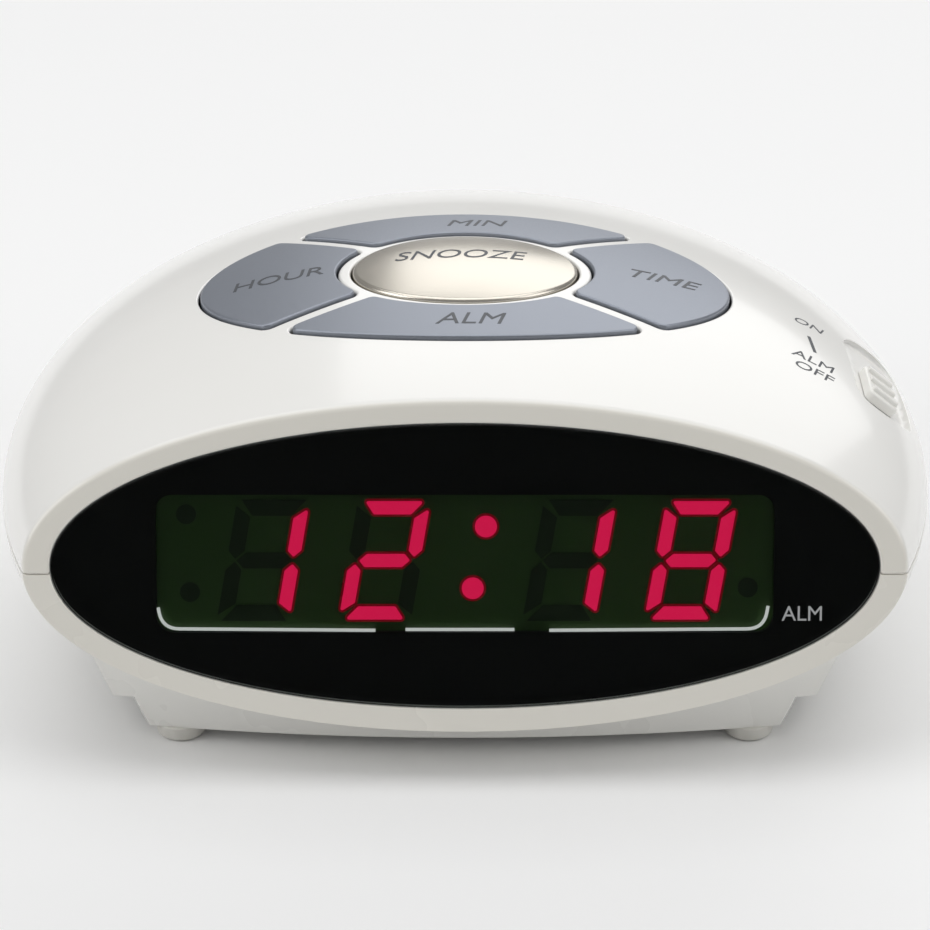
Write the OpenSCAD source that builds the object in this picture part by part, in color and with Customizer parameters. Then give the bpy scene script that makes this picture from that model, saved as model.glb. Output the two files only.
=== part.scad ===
// Egg-shaped mains alarm clock with a four-digit LED display.
// Millimetres, +Z up, display towards -Y. The origin is on the table, under the middle of the clock.
// The modules work from the centre of the egg, and at_home() stands each one on the table.

/* [Housing] */
// Half width of the egg
body_rx = 63; // [62:0.5:64]
// Half depth of the egg, before its front and rear are cut
body_ry = 79; // [78:0.5:80]
// Half height of the egg
body_rz = 22.7; // [22.5:0.1:23]
// Thickness of the housing wall
wall = 2; // [1.8:0.1:2.2]
// From the egg's centre forward to the face, at the parting line
face_set = 34; // [33.5:0.5:34.5]
// How far the face leans back, in degrees
face_lean = 19; // [18:1:20]
// Thickness of the frame round the lens
face_t = 3.6; // [3.4:0.1:3.8]
// From the egg's centre back to the small rear flat
rear_set = 75; // [74.5:0.5:75.5]

/* [Plinth] */
// Half width of the upper step at its foot
step_rx = 52.2; // [51.8:0.1:52.6]
// Half width of the lower step at its foot
base_rx = 48.3; // [48:0.1:48.6]
// Depth of the ledge between the steps, below the parting line
ledge_z = 21; // [20.8:0.1:21.2]
// Depth of the underside, below the parting line
base_z = 25.2; // [25:0.1:25.4]
// From the egg's centre forward to the plinth's front wall
plinth_front = 33; // [32.5:0.5:33.5]
// Height of the rubber feet below the underside
foot_h = 2.1; // [2:0.1:2.4]
// Radius of a rubber foot
foot_r = 3.3; // [3:0.1:3.5]

/* [Lens and display] */
// Half width of the lens
lens_rx = 53.4; // [53:0.1:53.6]
// Half height of the lens
lens_ry = 18.6; // [18.4:0.1:18.8]
// Height of a digit
digit_h = 15.9; // [15.7:0.1:16]
// Distance from one digit to the next
digit_pitch = 15.6; // [15.5:0.1:15.7]
// Slant of the digits, in degrees
digit_slant = 10; // [9:0.5:11]
// Width of a display segment
segment_w = 2.1; // [1.9:0.1:2.2]

/* [Keys] */
// Half width of the ring of keys
keys_rx = 37.1; // [36.8:0.1:37.4]
// Half depth of the ring of keys
keys_ry = 24.1; // [24:0.1:24.4]
// Half width of the snooze button
snooze_rx = 15.6; // [15.4:0.1:15.8]
// Half depth of the snooze button
snooze_ry = 12.4; // [12.2:0.1:12.5]
// From the egg's centre back to the middle of the keys
keys_y = 13.4; // [13:0.1:13.8]
// Width of the spokes between the keys
spoke_w = 2.1; // [2:0.1:2.3]
// Angle of the spokes, in degrees
spoke_angle = 34; // [33:1:35]
// Travel of a key
key_travel = 0.7; // [0.5:0.1:0.8]
// Travel of the snooze button
snooze_travel = 1; // [0.8:0.1:1]

/* [Battery cover] */
// Half width of the sliding battery cover
cover_rx = 15.5; // [15.3:0.1:15.7]

/* [Hidden] */

$fn = 96;
big = 200;
eps = 0.01;

// The table is below the feet, and the origin is midway between the lower lip of the face and
// the rear end of the grommet.
stand_h = base_z + foot_h;
lean_tan = tan(face_lean);
lip_a = pow(lean_tan / body_ry, 2) + pow(1 / body_rz, 2);
lip_b = 2 * face_set * lean_tan / pow(body_ry, 2);
lip_c = 1 - pow(face_set / body_ry, 2);
lip_z = (lip_b - sqrt(lip_b * lip_b + 4 * lip_a * lip_c)) / (2 * lip_a);
lip_y = -face_set + lip_z * lean_tan;
grommet_lip = 1.4;
rear_y = rear_set + grommet_lip;
mid_y = (lip_y + rear_y) / 2;

// Plinth: where its upper step ends, how far each step flares, and how its front wall bows
step_top = 10;
step_flare = 4;
base_flare = 1.5;
front_bow_r = 280;

// Lens and display, in the plane of the face: x across, y up the slope, z out of the face
lens_v = 1.03;
lens_seat = 2.2;
lens_recess = 0.3;
lens_gap = 0.05;
seat_rim = 1.5;
mask_t = 0.2;
window_w = 79.8;
window_h = 18;
window_v = 1.2;
window_r = 2.2;
frame_t = 0.8;
display_w = 83;
display_h = 20.6;
display_t = 6.6;
display_top = -3.4;
segment_t = 0.12;
board_t = 1.6;
display_board_w = 80;
display_board_h = 22;
digits_v = 1.45;

// One digit, upright: half distances between its upright and its level segments, and the gaps
// between neighbouring segments. Its segments are mitred where they meet.
digit_rx = 3.75;
digit_ry = (digit_h - segment_w) / 2;
segment_gap = 0.2;
corner_cut = 0.6;
half_w = segment_w / 2;
in_x = digit_rx - half_w - segment_gap;
top_bar = [[-digit_rx - half_w + corner_cut, digit_ry + half_w],
    [digit_rx + half_w - corner_cut, digit_ry + half_w], [in_x, digit_ry - half_w],
    [-in_x, digit_ry - half_w]];
side_bar = [[digit_rx + half_w, digit_ry + half_w - corner_cut - segment_gap],
    [digit_rx - half_w, digit_ry - half_w - segment_gap], [digit_rx - half_w, half_w + segment_gap],
    [digit_rx, segment_gap], [digit_rx + half_w, half_w + segment_gap]];
middle_bar = [[segment_gap - digit_rx, 0], [-in_x, half_w], [in_x, half_w], [digit_rx - segment_gap, 0],
    [in_x, -half_w], [-in_x, -half_w]];

// The segments by name: the bar, and which way it is turned across and up
segment_place = [["a", top_bar, 1, 1], ["b", side_bar, 1, 1], ["c", side_bar, 1, -1], ["d", top_bar, 1, -1],
    ["e", side_bar, -1, -1], ["f", side_bar, -1, 1], ["g", middle_bar, 1, 1]];

// Left to right, the middle of each digit and the segments that are lit for 12:18.
hours_x = -26;
minutes_x = 13.6;
digit_x = [hours_x, hours_x + digit_pitch, minutes_x, minutes_x + digit_pitch];
lit = ["bc", "abged", "bc", "abcdefg"];
unlit = ["adefg", "cf", "adefg", ""];
colon_at = [[2.7, 5.9], [1, -2.2]];
dot_r = 1.6;
indicator_at = [[-36, 7.5], [-35.6, -2.7], [36.6, -2.1]];

// Keys
key_gap = 0.3;
key_proud = 0.45;
key_cap_t = 2.45;
ring_w = 2;
ring_d = 1.35;
collar_w = 0.7;
collar_z = 17.4;
flange_t = 1;
snooze_crown = 1.2;
key_board_z = 9.5;
key_board_top = key_board_z + board_t;
key_board_w = 60;
key_board_front = -8;
key_board_rear = 35.5;
switch_w = 6;
switch_h = 3.5;
button_r = 1.7;
button_in = 0.8;
button_spare = 0.3;
button_top = 16.2;
stem_r = 2;
key_at = [["hour", -25.5, keys_y], ["time", 25.5, keys_y], ["minute", 0, 31.2], ["alarm", 0, -4.2]];
snooze_at = [0, keys_y];

// The snooze button's crown is the top of a flat ellipsoid, whose underside the spring meets
crown_rz = 2.6;
crown_over = 1.12;
crown_top = body_rz * sqrt(1 - pow(keys_y / body_ry, 2)) + snooze_crown;
spring_foot = key_board_top + 0.05;
spring_top = crown_top - 2 * crown_rz;

// Alarm slide switch, on the right shoulder
slider_at = [57.2, 4, 9.35];
slider_tilt = 39;
slider_travel = 4;
slider_w = 5;
slider_l = 9;
rib_pitch = 3;
pocket_w = 10;
pocket_l = 22;
pocket_r = 4;
pocket_d = 1.4;
pocket_pad = 3.4;
slot_w = 3;
slot_l = 8.6;

// Fasteners
housing_screw_at = [[-41, -15], [41, -15], [-25, 47], [25, 47]];
// The key board's posts hang from the spokes: each is a thin neck between two keys, then a wide post.
key_screw_x = 26;
key_screw_y = key_screw_x * tan(spoke_angle);
key_board_screw_at = [for (x = [-1, 1]) for (y = [-1, 1]) [x * key_screw_x, keys_y + y * key_screw_y]];
key_post_r = 2.4;
key_post_top = 14.8;
key_neck_r = 0.9;
key_screw_l = 4.6;
main_screw_l = 6;
screw_hole_spare = 0.3;
main_board_screw_at = [[32.5, 5], [-12.6, -14], [19, 16]];
main_post_r = 2.6;
boss_r = 4.2;
upper_boss_r = 3.2;
head_hole_r = 2.8;
seat_z = -6;
shank_r = 1.2;
head_r = 2.5;
head_t = 2;
cross = [3, 0.6, 0.8];
housing_screw_l = 13;
small_shank_r = 0.95;
small_head_r = 1.9;
small_head_t = 1.2;
screw_slot = [2.4, 0.5, 0.5];
screw_gap = 0.05;

// Battery bay and main board
battery = [26.5, 48.5, 17.5];
battery_y = -4;
bay_gap = 0.5;
bay_wall = 1.4;
cover_t = 1.6;
floor_z = -base_z + wall;
bay_top = floor_z + battery[2] + bay_gap;
snap_t = 5;
bay_w = battery[0] + 2 * bay_gap;
bay_l = battery[1] + snap_t + 2 * bay_gap;
bay_y = battery_y + (battery[1] - snap_t) / 2;
snap = [24, 3.4, 11];
cover_front = battery_y - snap_t - 3;
tongue_w = 0.9;
tongue_t = 0.7;
tongue_z = 0.7;
channel_roof = 2;
main_z = -2.4;
main_top = main_z + board_t;
main_board_at = [10.25, 1];
main_board_w = 50.5;
main_board_l = 38;

// Transformer: plates, winding and their place on the floor
core = [24, 10, 24];
coil = [16.6, 22, 13.6];
core_at = [-30.7, 4, floor_z + 0.05];
core_window = [4.8, 14];
core_window_x = 6.3;
core_end = 5;

// Clock chip: its body, the pins on each side and their pitch
chip = [35, 13, 3.4];
chip_pins = 14;
pin_pitch = 2.54;

// How far back the display board's rear face lies at a height, with a little air behind it
function board_back_y(z) = -face_set + (board_t + display_t - display_top) / cos(face_lean)
    + z * tan(face_lean) + 0.1;

// Feet
foot_at = [[-38, -27.6], [38, -27.6], [-31, 38], [31, 38]];
foot_socket = 1;

// Cord grommet
gland_r = 4;
cord_r = 2.5;

module at_home() {
    translate([0, -mid_y, stand_h]) children();
}

// The plane of the face: children's z points out of the clock.
module at_face() {
    translate([0, -face_set, 0]) rotate([90 - face_lean, 0, 0]) children();
}

// The tangent plane at the slide switch: children's z points out of the clock, y to the rear.
module at_slider() {
    translate(slider_at) rotate([0, slider_tilt, 0]) children();
}

// The whole egg, grown or shrunk all round. Its poles lie front and rear, where it is cut, and the
// line where its surface meets itself is turned by roll: underneath at 90, or to the right at 0.
module egg(grow, roll = 90) {
    scale([body_rx + grow, body_ry + grow, body_rz + grow]) rotate([90, roll, 0]) sphere(r = 1);
}

// An upright prism with an elliptical outline.
module oval(rx, ry, h) {
    scale([rx, ry, 1]) cylinder(r = 1, h = h);
}

// The same with many short flat sides, for a thin film.
module oval_film(rx, ry, h) {
    sides = 120;
    turn = 360 / sides;
    linear_extrude(h) polygon([for (i = [0:sides - 1]) [rx * cos(i * turn), ry * sin(i * turn)]]);
}

// A box that is centred on x and y and stands on z = 0.
module slab(w, d, h) {
    translate([-w / 2, -d / 2, 0]) cube([w, d, h]);
}

// A plate with round corners, centred on x and y.
module round_plate(w, h, r, t) {
    slab(w - 2 * r, h, t);
    slab(w, h - 2 * r, t);
    for (x = [-1, 1]) {
        for (y = [-1, 1]) {
            translate([x * (w / 2 - r), y * (h / 2 - r), 0]) cylinder(r = r, h = t);
        }
    }
}

// All of the space in front of the face, or in front of a plane that far behind it.
module before_face(depth) {
    at_face() translate([0, 0, -depth]) slab(big, big, big);
}

module behind(y) {
    translate([-big / 2, y, -big / 2]) cube([big, big, big]);
}

// The egg with its face and rear flat cut, as a solid.
module cut_egg(roll) {
    difference() {
        egg(0, roll);
        before_face(0);
        behind(rear_set);
    }
}

// The space inside the egg's wall, the lens frame and the rear wall.
module egg_space(roll) {
    difference() {
        egg(-wall, roll);
        before_face(face_t);
        behind(rear_set - wall);
    }
}

// One elliptical step of the plinth, from its foot at z0 up to z1.
module step(z0, r0, z1, r1) {
    translate([0, 0, z0]) scale([1, body_ry / body_rx, 1]) cylinder(r1 = r0, r2 = r1, h = z1 - z0);
}

// The two steps of the plinth, drawn in by inset, with their floor at z0 and their ledge raised.
module plinth(inset, z0, ledge_up) {
    intersection() {
        union() {
            step(-ledge_z + ledge_up, step_rx - inset, -step_top, step_rx + step_flare - inset);
            step(z0, base_rx - inset, -ledge_z + ledge_up + eps, base_rx + base_flare - inset);
        }
        plinth_front(inset);
    }
}

// The plinth's front wall bows forward a little.
module plinth_front(inset) {
    translate([0, front_bow_r - plinth_front, -big / 2])
        cylinder(r = front_bow_r - inset, h = big, $fn = 360);
}

// The lens opening, its seat and the grommet's hole, cut from both halves of the housing.
module housing_openings() {
    at_face() translate([0, lens_v, -lens_seat]) oval(lens_rx + lens_gap, lens_ry + lens_gap, big);
    at_face() translate([0, lens_v, -face_t - 1]) oval(lens_rx - seat_rim, lens_ry - seat_rim, big);
    translate([0, rear_set + 1, 0]) rotate([90, 0, 0]) cylinder(r = gland_r + lens_gap, h = wall + 2);
}

// The four wedge-shaped openings for the keys: an oval ring that two crossed spokes divide.
module key_ring(grow, h) {
    difference() {
        oval(keys_rx + grow, keys_ry + grow, h);
        translate([0, 0, -1]) oval(snooze_rx + ring_w - grow, snooze_ry + ring_d - grow, h + 2);
        for (side = [-1, 1]) {
            rotate([0, 0, side * spoke_angle]) translate([0, 0, -1]) slab(big, spoke_w - 2 * grow, h + 2);
        }
    }
}

// A wedge that keeps one key of the ring. The left and right keys lie inside the spokes' angle.
module wedge(name, h) {
    long = 60;
    rise = long * tan(spoke_angle);
    right = [[0, 0], [long, -rise], [long, rise]];
    rear = [[0, 0], [long, rise], [-long, rise]];
    flip = name == "hour" || name == "alarm" ? 180 : 0;
    rotate([0, 0, flip]) linear_extrude(h) polygon(name == "hour" || name == "time" ? right : rear);
}

function key_xy(name) = [for (k = key_at) if (k[0] == name) [k[1], k[2]]][0];

// A key: its cap follows the egg, and the stem below it stands on the switch's button.
module key(name) {
    intersection() {
        translate([0, keys_y, 5]) intersection() {
            key_ring(-key_gap, 30);
            wedge(name, 30);
        }
        difference() {
            egg(key_proud);
            egg(key_proud - key_cap_t);
        }
    }
    translate([key_xy(name)[0], key_xy(name)[1], button_top]) intersection() {
        cylinder(r = stem_r, h = 6);
        translate([-key_xy(name)[0], -key_xy(name)[1], -button_top]) egg(key_proud - key_cap_t + 0.5);
    }
}

// The moving button of a push switch.
module switch_button(xy) {
    foot = key_board_top + switch_h - button_in;
    translate([xy[0], xy[1], foot]) cylinder(r = button_r, h = button_top - foot);
}

// An upright cylinder from z0 to z1, for a boss or for the hole in it.
module post(xy, r, z0, z1) {
    translate([xy[0], xy[1], z0]) cylinder(r = r, h = z1 - z0);
}

module upper_housing() {
    color("white") at_home() difference() {
        union() {
            difference() {
                cut_egg(90);
                egg_space(90);
                housing_openings();
                translate([0, keys_y, 5]) key_ring(0, 30);
            }
            intersection() {
                egg(-wall / 2);
                union() {
                    translate([0, keys_y, collar_z])
                        oval(snooze_rx + key_gap + collar_w, snooze_ry + key_gap + collar_w, 10);
                    for (xy = housing_screw_at) post(xy, upper_boss_r, 0, 20);
                    for (xy = key_board_screw_at) {
                        post(xy, key_post_r, key_board_top, key_post_top);
                        post(xy, key_neck_r, key_post_top, 20);
                    }
                    at_slider() translate([0, 0, -pocket_pad]) slab(pocket_w + 3, pocket_l + 3, 3);
                }
            }
        }
        translate([-big / 2, -big / 2, -big]) cube([big, big, big]);
        translate([0, keys_y, 5]) oval(snooze_rx + key_gap, snooze_ry + key_gap, 30);
        for (xy = housing_screw_at) post(xy, shank_r + screw_gap, -1, 8);
        for (xy = key_board_screw_at) {
            post(xy, small_shank_r + screw_gap, key_board_z, key_board_z + key_screw_l + screw_hole_spare);
        }
        at_slider() translate([0, 0, -pocket_d]) round_plate(pocket_w, pocket_l, pocket_r, 10);
        at_slider() translate([0, 0, -10]) slab(slot_w, slot_l, 20);
    }
}

module lower_housing() {
    color("whitesmoke") at_home() difference() {
        union() {
            difference() {
                union() {
                    cut_egg(0);
                    plinth(0, -base_z, 0);
                }
                egg_space(0);
                difference() {
                    plinth(wall, floor_z, wall);
                    before_face(face_t);
                }
                housing_openings();
            }
            intersection() {
                translate([-cover_rx - 3, cover_front - 3, floor_z - 0.5])
                    cube([2 * (cover_rx + 3), big, channel_roof]);
                plinth(wall / 2, -base_z + 1, 0);
            }
            for (xy = housing_screw_at) post(xy, boss_r, -base_z + 1, 0);
            for (xy = main_board_screw_at) post(xy, main_post_r, floor_z - 0.5, main_z);
            translate([0, bay_y, floor_z - 0.5])
                slab(bay_w + 2 * bay_wall, bay_l + 2 * bay_wall, bay_top + bay_wall - floor_z + 0.5);
        }
        translate([-big / 2, -big / 2, 0]) cube([big, big, big]);
        translate([0, bay_y, -base_z - 1]) slab(bay_w, bay_l, bay_top + base_z + 1);
        for (xy = housing_screw_at) {
            post(xy, head_hole_r, -base_z - 1, seat_z);
            post(xy, shank_r + screw_gap + 0.2, seat_z - 1, 1);
        }
        for (xy = main_board_screw_at) {
            post(xy, small_shank_r + screw_gap, main_top - main_screw_l - screw_hole_spare, main_z + 1);
        }
        for (xy = foot_at) post(xy, foot_r - 0.6, -base_z - 1, -base_z + foot_socket);
        cover_bars(0.15, 1);
    }
}

// The battery cover and its tongues as long bars, grown by gap and reaching further down by drop.
// The same shape cuts the cover's channel, open at the rear.
module cover_bars(gap, drop) {
    translate([-cover_rx - gap, cover_front - gap, -base_z - drop])
        cube([2 * (cover_rx + gap), big, cover_t + gap + drop]);
    translate([-cover_rx - tongue_w - gap, cover_front - gap, -base_z + tongue_z - gap])
        cube([2 * (cover_rx + tongue_w + gap), big, tongue_t + 2 * gap]);
}

module front_lens() {
    color([0.04, 0.05, 0.05]) at_home() at_face() translate([0, lens_v, -lens_seat])
        oval(lens_rx, lens_ry, lens_seat - lens_recess);
}

module lens_mask() {
    color("black") at_home() at_face() translate([0, 0, -lens_seat - mask_t]) difference() {
        translate([0, lens_v, 0])
            oval_film(lens_rx - seat_rim - lens_gap, lens_ry - seat_rim - lens_gap, mask_t);
        translate([0, window_v, -1]) round_plate(window_w, window_h, window_r, 3);
    }
}

// The white rim of the display, seen round the window from inside.
module display_frame() {
    color("gainsboro") at_home() at_face() translate([0, window_v, display_top]) difference() {
        round_plate(display_w, display_h, window_r, frame_t);
        translate([0, 0, -1]) round_plate(window_w, window_h, window_r, 3);
    }
}

module led_display() {
    color([0.08, 0.13, 0.07]) at_home() at_face() translate([0, window_v, display_top - display_t])
        slab(display_w, display_h, display_t);
}

// The named segments of one digit, slanted, at its place along the display.
module segments(place, names) {
    slant = tan(digit_slant);
    for (s = segment_place) {
        if (len(search(s[0], names)) > 0) {
            translate([place, digits_v, 0]) linear_extrude(segment_t)
                polygon([for (p = s[1]) [s[2] * p[0] + slant * s[3] * p[1], s[3] * p[1]]]);
        }
    }
}

module lit_segments() {
    color("crimson") at_home() at_face() translate([0, 0, display_top]) {
        for (i = [0:3]) segments(digit_x[i], lit[i]);
        for (p = colon_at) translate([p[0], p[1], 0]) cylinder(r = dot_r, h = segment_t);
    }
}

module unlit_segments() {
    color([0.05, 0.08, 0.05]) at_home() at_face() translate([0, 0, display_top]) {
        for (i = [0:2]) segments(digit_x[i], unlit[i]);
        for (p = indicator_at) translate([p[0], p[1], 0]) cylinder(r = dot_r - 0.3, h = segment_t);
    }
}

module display_board() {
    color("darkgreen") at_home() at_face() translate([0, window_v, display_top - display_t - board_t])
        slab(display_board_w, display_board_h, board_t);
}

// Flat cable from the back of the display board to the front edge of the main board. Its front end is
// cut along the lean of the display board, a hair behind it.
module ribbon_cable() {
    cable_t = 0.8;
    bend_z = main_top + cable_t;
    top_z = bend_z + 0.6;
    end_y = -15;
    color("lightgray") at_home() translate([-10, 0, 0]) rotate([90, 0, 90]) linear_extrude(20)
        polygon([[board_back_y(top_z + 0.2), top_z + 0.2], [board_back_y(top_z) + cable_t, top_z],
            [end_y - 0.5, top_z], [end_y, top_z - 0.5], [end_y, main_top], [end_y - 0.7, main_top],
            [end_y - 0.7, bend_z], [board_back_y(bend_z), bend_z]]);
}

module snooze_button() {
    color("silver") at_home() {
        intersection() {
            translate([0, keys_y, collar_z - 0.1]) oval(snooze_rx, snooze_ry, 10);
            translate([0, keys_y, crown_top - crown_rz]) union() {
                oval(snooze_rx * crown_over, snooze_ry * crown_over, crown_rz * 0.45);
                scale([snooze_rx * crown_over, snooze_ry * crown_over, crown_rz]) sphere(r = 1);
                translate([0, 0, -2]) oval(snooze_rx + 1, snooze_ry + 1, 2);
            }
        }
        difference() {
            translate([0, keys_y, collar_z - 0.1 - flange_t]) union() {
                oval(snooze_rx, snooze_ry, 5);
                oval(snooze_rx + 1.1, snooze_ry + 0.9, flange_t);
            }
            translate([0, keys_y, collar_z - 2]) oval(snooze_rx - 1.5, snooze_ry - 1.5, 4.6);
        }
        translate([0, keys_y, button_top]) cylinder(r = stem_r, h = 5);
    }
}

module snooze_spring() {
    color("silver") at_home() translate([0, keys_y, spring_foot]) difference() {
        cylinder(r = 5.4, h = spring_top - spring_foot);
        translate([0, 0, -1]) cylinder(r = 4.7, h = spring_top - spring_foot + 2);
    }
}

module snooze_switch_button() {
    color("dimgray") at_home() switch_button(snooze_at);
}

module hour_key() { color("silver") at_home() key("hour"); }
module minute_key() { color("silver") at_home() key("minute"); }
module time_key() { color("silver") at_home() key("time"); }
module alarm_key() { color("silver") at_home() key("alarm"); }
module hour_switch_button() { color("dimgray") at_home() switch_button(key_xy("hour")); }
module minute_switch_button() { color("dimgray") at_home() switch_button(key_xy("minute")); }
module time_switch_button() { color("dimgray") at_home() switch_button(key_xy("time")); }
module alarm_switch_button() { color("dimgray") at_home() switch_button(key_xy("alarm")); }

module key_board() {
    color("peru") at_home() difference() {
        translate([0, (key_board_front + key_board_rear) / 2, key_board_z])
            slab(key_board_w, key_board_rear - key_board_front, board_t);
        for (xy = key_board_screw_at) post(xy, small_shank_r + screw_gap, 0, 20);
    }
}

// The five push switches. The pocket under each button is deep enough for its travel.
module key_switches() {
    places = concat([[snooze_at, snooze_travel]], [for (k = key_at) [[k[1], k[2]], key_travel]]);
    color([0.15, 0.15, 0.15]) at_home() for (p = places) {
        translate([p[0][0], p[0][1], key_board_top]) difference() {
            slab(switch_w, switch_w, switch_h);
            translate([0, 0, switch_h - button_in - p[1] - button_spare])
                cylinder(r = button_r + 0.1, h = switch_h);
        }
    }
}

module key_cable() {
    color("lightgray") at_home() translate([8, 18.5, main_top]) slab(12, 0.8, key_board_z - main_top);
}

module alarm_slider() {
    color("white") at_home() at_slider() translate([0, -slider_travel / 2, 0]) {
        translate([0, 0, 0.1 - pocket_d]) round_plate(slider_w, slider_l, 1, pocket_d);
        translate([0, 0, -pocket_d - 3]) slab(slot_w - 0.4, slot_l - slider_travel - 0.4, 3.2);
        for (i = [-1:1]) translate([0, i * rib_pitch, 0]) slab(slider_w - 0.8, 1, 0.6);
    }
}

module alarm_slide_switch() {
    color("dimgray") at_home() at_slider() difference() {
        translate([0, 0, -pocket_pad - 5.1]) slab(6.4, 13, 5);
        translate([0, 0, -pocket_pad - 1.2]) slab(slot_w, slot_l, 5);
    }
}

module battery_cover() {
    color("whitesmoke") at_home() intersection() {
        cover_bars(0, 0);
        plinth(0, -base_z, 0);
    }
}

module backup_battery() {
    color("darkslategray") at_home() translate([0, battery_y + battery[1] / 2, floor_z + 0.1])
        slab(battery[0] - 0.4, battery[1] - 0.4, battery[2] - 0.2);
}

module battery_snap() {
    color([0.1, 0.1, 0.1]) at_home() translate([0, battery_y - 1.9, floor_z + 3])
        slab(snap[0], snap[1], snap[2]);
}

module main_board() {
    color("peru") at_home() difference() {
        translate([main_board_at[0], main_board_at[1], main_z]) slab(main_board_w, main_board_l, board_t);
        for (xy = main_board_screw_at) post(xy, small_shank_r + screw_gap, -20, 20);
    }
}

module clock_chip() {
    color([0.12, 0.12, 0.12]) at_home() translate([12, 5, main_top]) {
        translate([0, 0, 0.6]) slab(chip[0], chip[1], chip[2]);
        for (i = [0:chip_pins - 1]) {
            for (side = [-1, 1]) {
                translate([(i - (chip_pins - 1) / 2) * pin_pitch, side * (chip[1] / 2 + 0.7), 0])
                    slab(0.6, 1.4, 2.4);
            }
        }
    }
}

module capacitors() {
    color("navy") at_home() {
        translate([31, -13.2, main_top]) cylinder(r = 4, h = 11);
        translate([22, -14, main_top]) cylinder(r = 2.5, h = 7);
    }
}

module transformer_core() {
    color("gray") at_home() translate(core_at) difference() {
        slab(core[0], core[1], core[2]);
        for (side = [-1, 1]) translate([side * core_window_x, 0, core_end])
            slab(core_window[0], core[1] + 2, core_window[1]);
    }
}

module transformer_coil() {
    coil_z = core_at[2] + core_end + 0.2;
    color("goldenrod") at_home() translate([core_at[0], core_at[1], coil_z]) difference() {
        slab(coil[0], coil[1], coil[2]);
        translate([0, 0, -1]) slab(8, core[1] + 0.2, coil[2] + 2);
    }
}

module buzzer() {
    color([0.1, 0.1, 0.1]) at_home() translate([30, 22, floor_z + 0.05]) difference() {
        cylinder(r = 9.5, h = 5.5);
        translate([0, 0, 4]) cylinder(r = 1, h = 5);
    }
}

module cord_grommet() {
    flange_r = 5.5;
    color([0.12, 0.12, 0.12]) at_home() translate([0, rear_y, 0]) rotate([90, 0, 0]) rotate_extrude()
        polygon([[cord_r, 0], [flange_r - 0.5, 0], [flange_r, 0.5], [flange_r, grommet_lip],
            [gland_r, grommet_lip], [gland_r, grommet_lip + wall], [flange_r, grommet_lip + wall],
            [flange_r, grommet_lip + wall + 1.4], [cord_r, grommet_lip + wall + 1.4]]);
}

module housing_screws() {
    color("silver") at_home() for (xy = housing_screw_at) {
        translate([xy[0], xy[1], seat_z - head_t]) difference() {
            cylinder(r = head_r, h = head_t);
            slab(cross[0], cross[1], cross[2]);
            slab(cross[1], cross[0], cross[2]);
        }
        translate([xy[0], xy[1], seat_z]) cylinder(r = shank_r, h = housing_screw_l);
    }
}

// A small screw with its head's underside at z, pointing up or down.
module board_screw(xy, z, long, up) {
    translate([xy[0], xy[1], z]) mirror([0, 0, up ? 0 : 1]) {
        translate([0, 0, -small_head_t]) difference() {
            cylinder(r = small_head_r, h = small_head_t);
            slab(screw_slot[0], screw_slot[1], screw_slot[2]);
        }
        cylinder(r = small_shank_r, h = long);
    }
}

module board_screws() {
    color("silver") at_home() {
        for (xy = key_board_screw_at) board_screw(xy, key_board_z, key_screw_l, true);
        for (xy = main_board_screw_at) board_screw(xy, main_top, main_screw_l, false);
    }
}

// A rubber foot: a pad with a chamfered lower edge and a disc glued into its socket.
module foot(i) {
    color("ivory") at_home() translate([foot_at[i][0], foot_at[i][1], -base_z - foot_h]) rotate_extrude()
        polygon([[0, 0], [foot_r - 0.7, 0], [foot_r, 0.8], [foot_r, foot_h], [foot_r - 0.65, foot_h],
            [foot_r - 0.65, foot_h + foot_socket], [0, foot_h + foot_socket]]);
}

module front_left_foot() { foot(0); }
module front_right_foot() { foot(1); }
module rear_left_foot() { foot(2); }
module rear_right_foot() { foot(3); }

upper_housing();
lower_housing();
front_lens();
lens_mask();
display_frame();
led_display();
lit_segments();
unlit_segments();
display_board();
ribbon_cable();
snooze_button();
snooze_spring();
snooze_switch_button();
hour_key();
minute_key();
time_key();
alarm_key();
hour_switch_button();
minute_switch_button();
time_switch_button();
alarm_switch_button();
key_board();
key_switches();
key_cable();
alarm_slider();
alarm_slide_switch();
battery_cover();
backup_battery();
battery_snap();
main_board();
clock_chip();
capacitors();
transformer_core();
transformer_coil();
buzzer();
cord_grommet();
housing_screws();
board_screws();
front_left_foot();
front_right_foot();
rear_left_foot();
rear_right_foot();
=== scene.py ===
# %% [markdown]
# # An egg-shaped alarm clock
# The real clock is two glossy ABS shells that meet at the egg's widest line, with a smoked lens over a
# red LED display and a ring of silver keys on top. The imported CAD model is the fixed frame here: it says
# where each piece is and what moves. This script gives each visible piece its final mesh and finish.

# %% Load the frame
import math

import bmesh
import bpy
import numpy as np
from mathutils import Matrix, Vector
from mathutils.geometry import delaunay_2d_cdt


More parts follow.
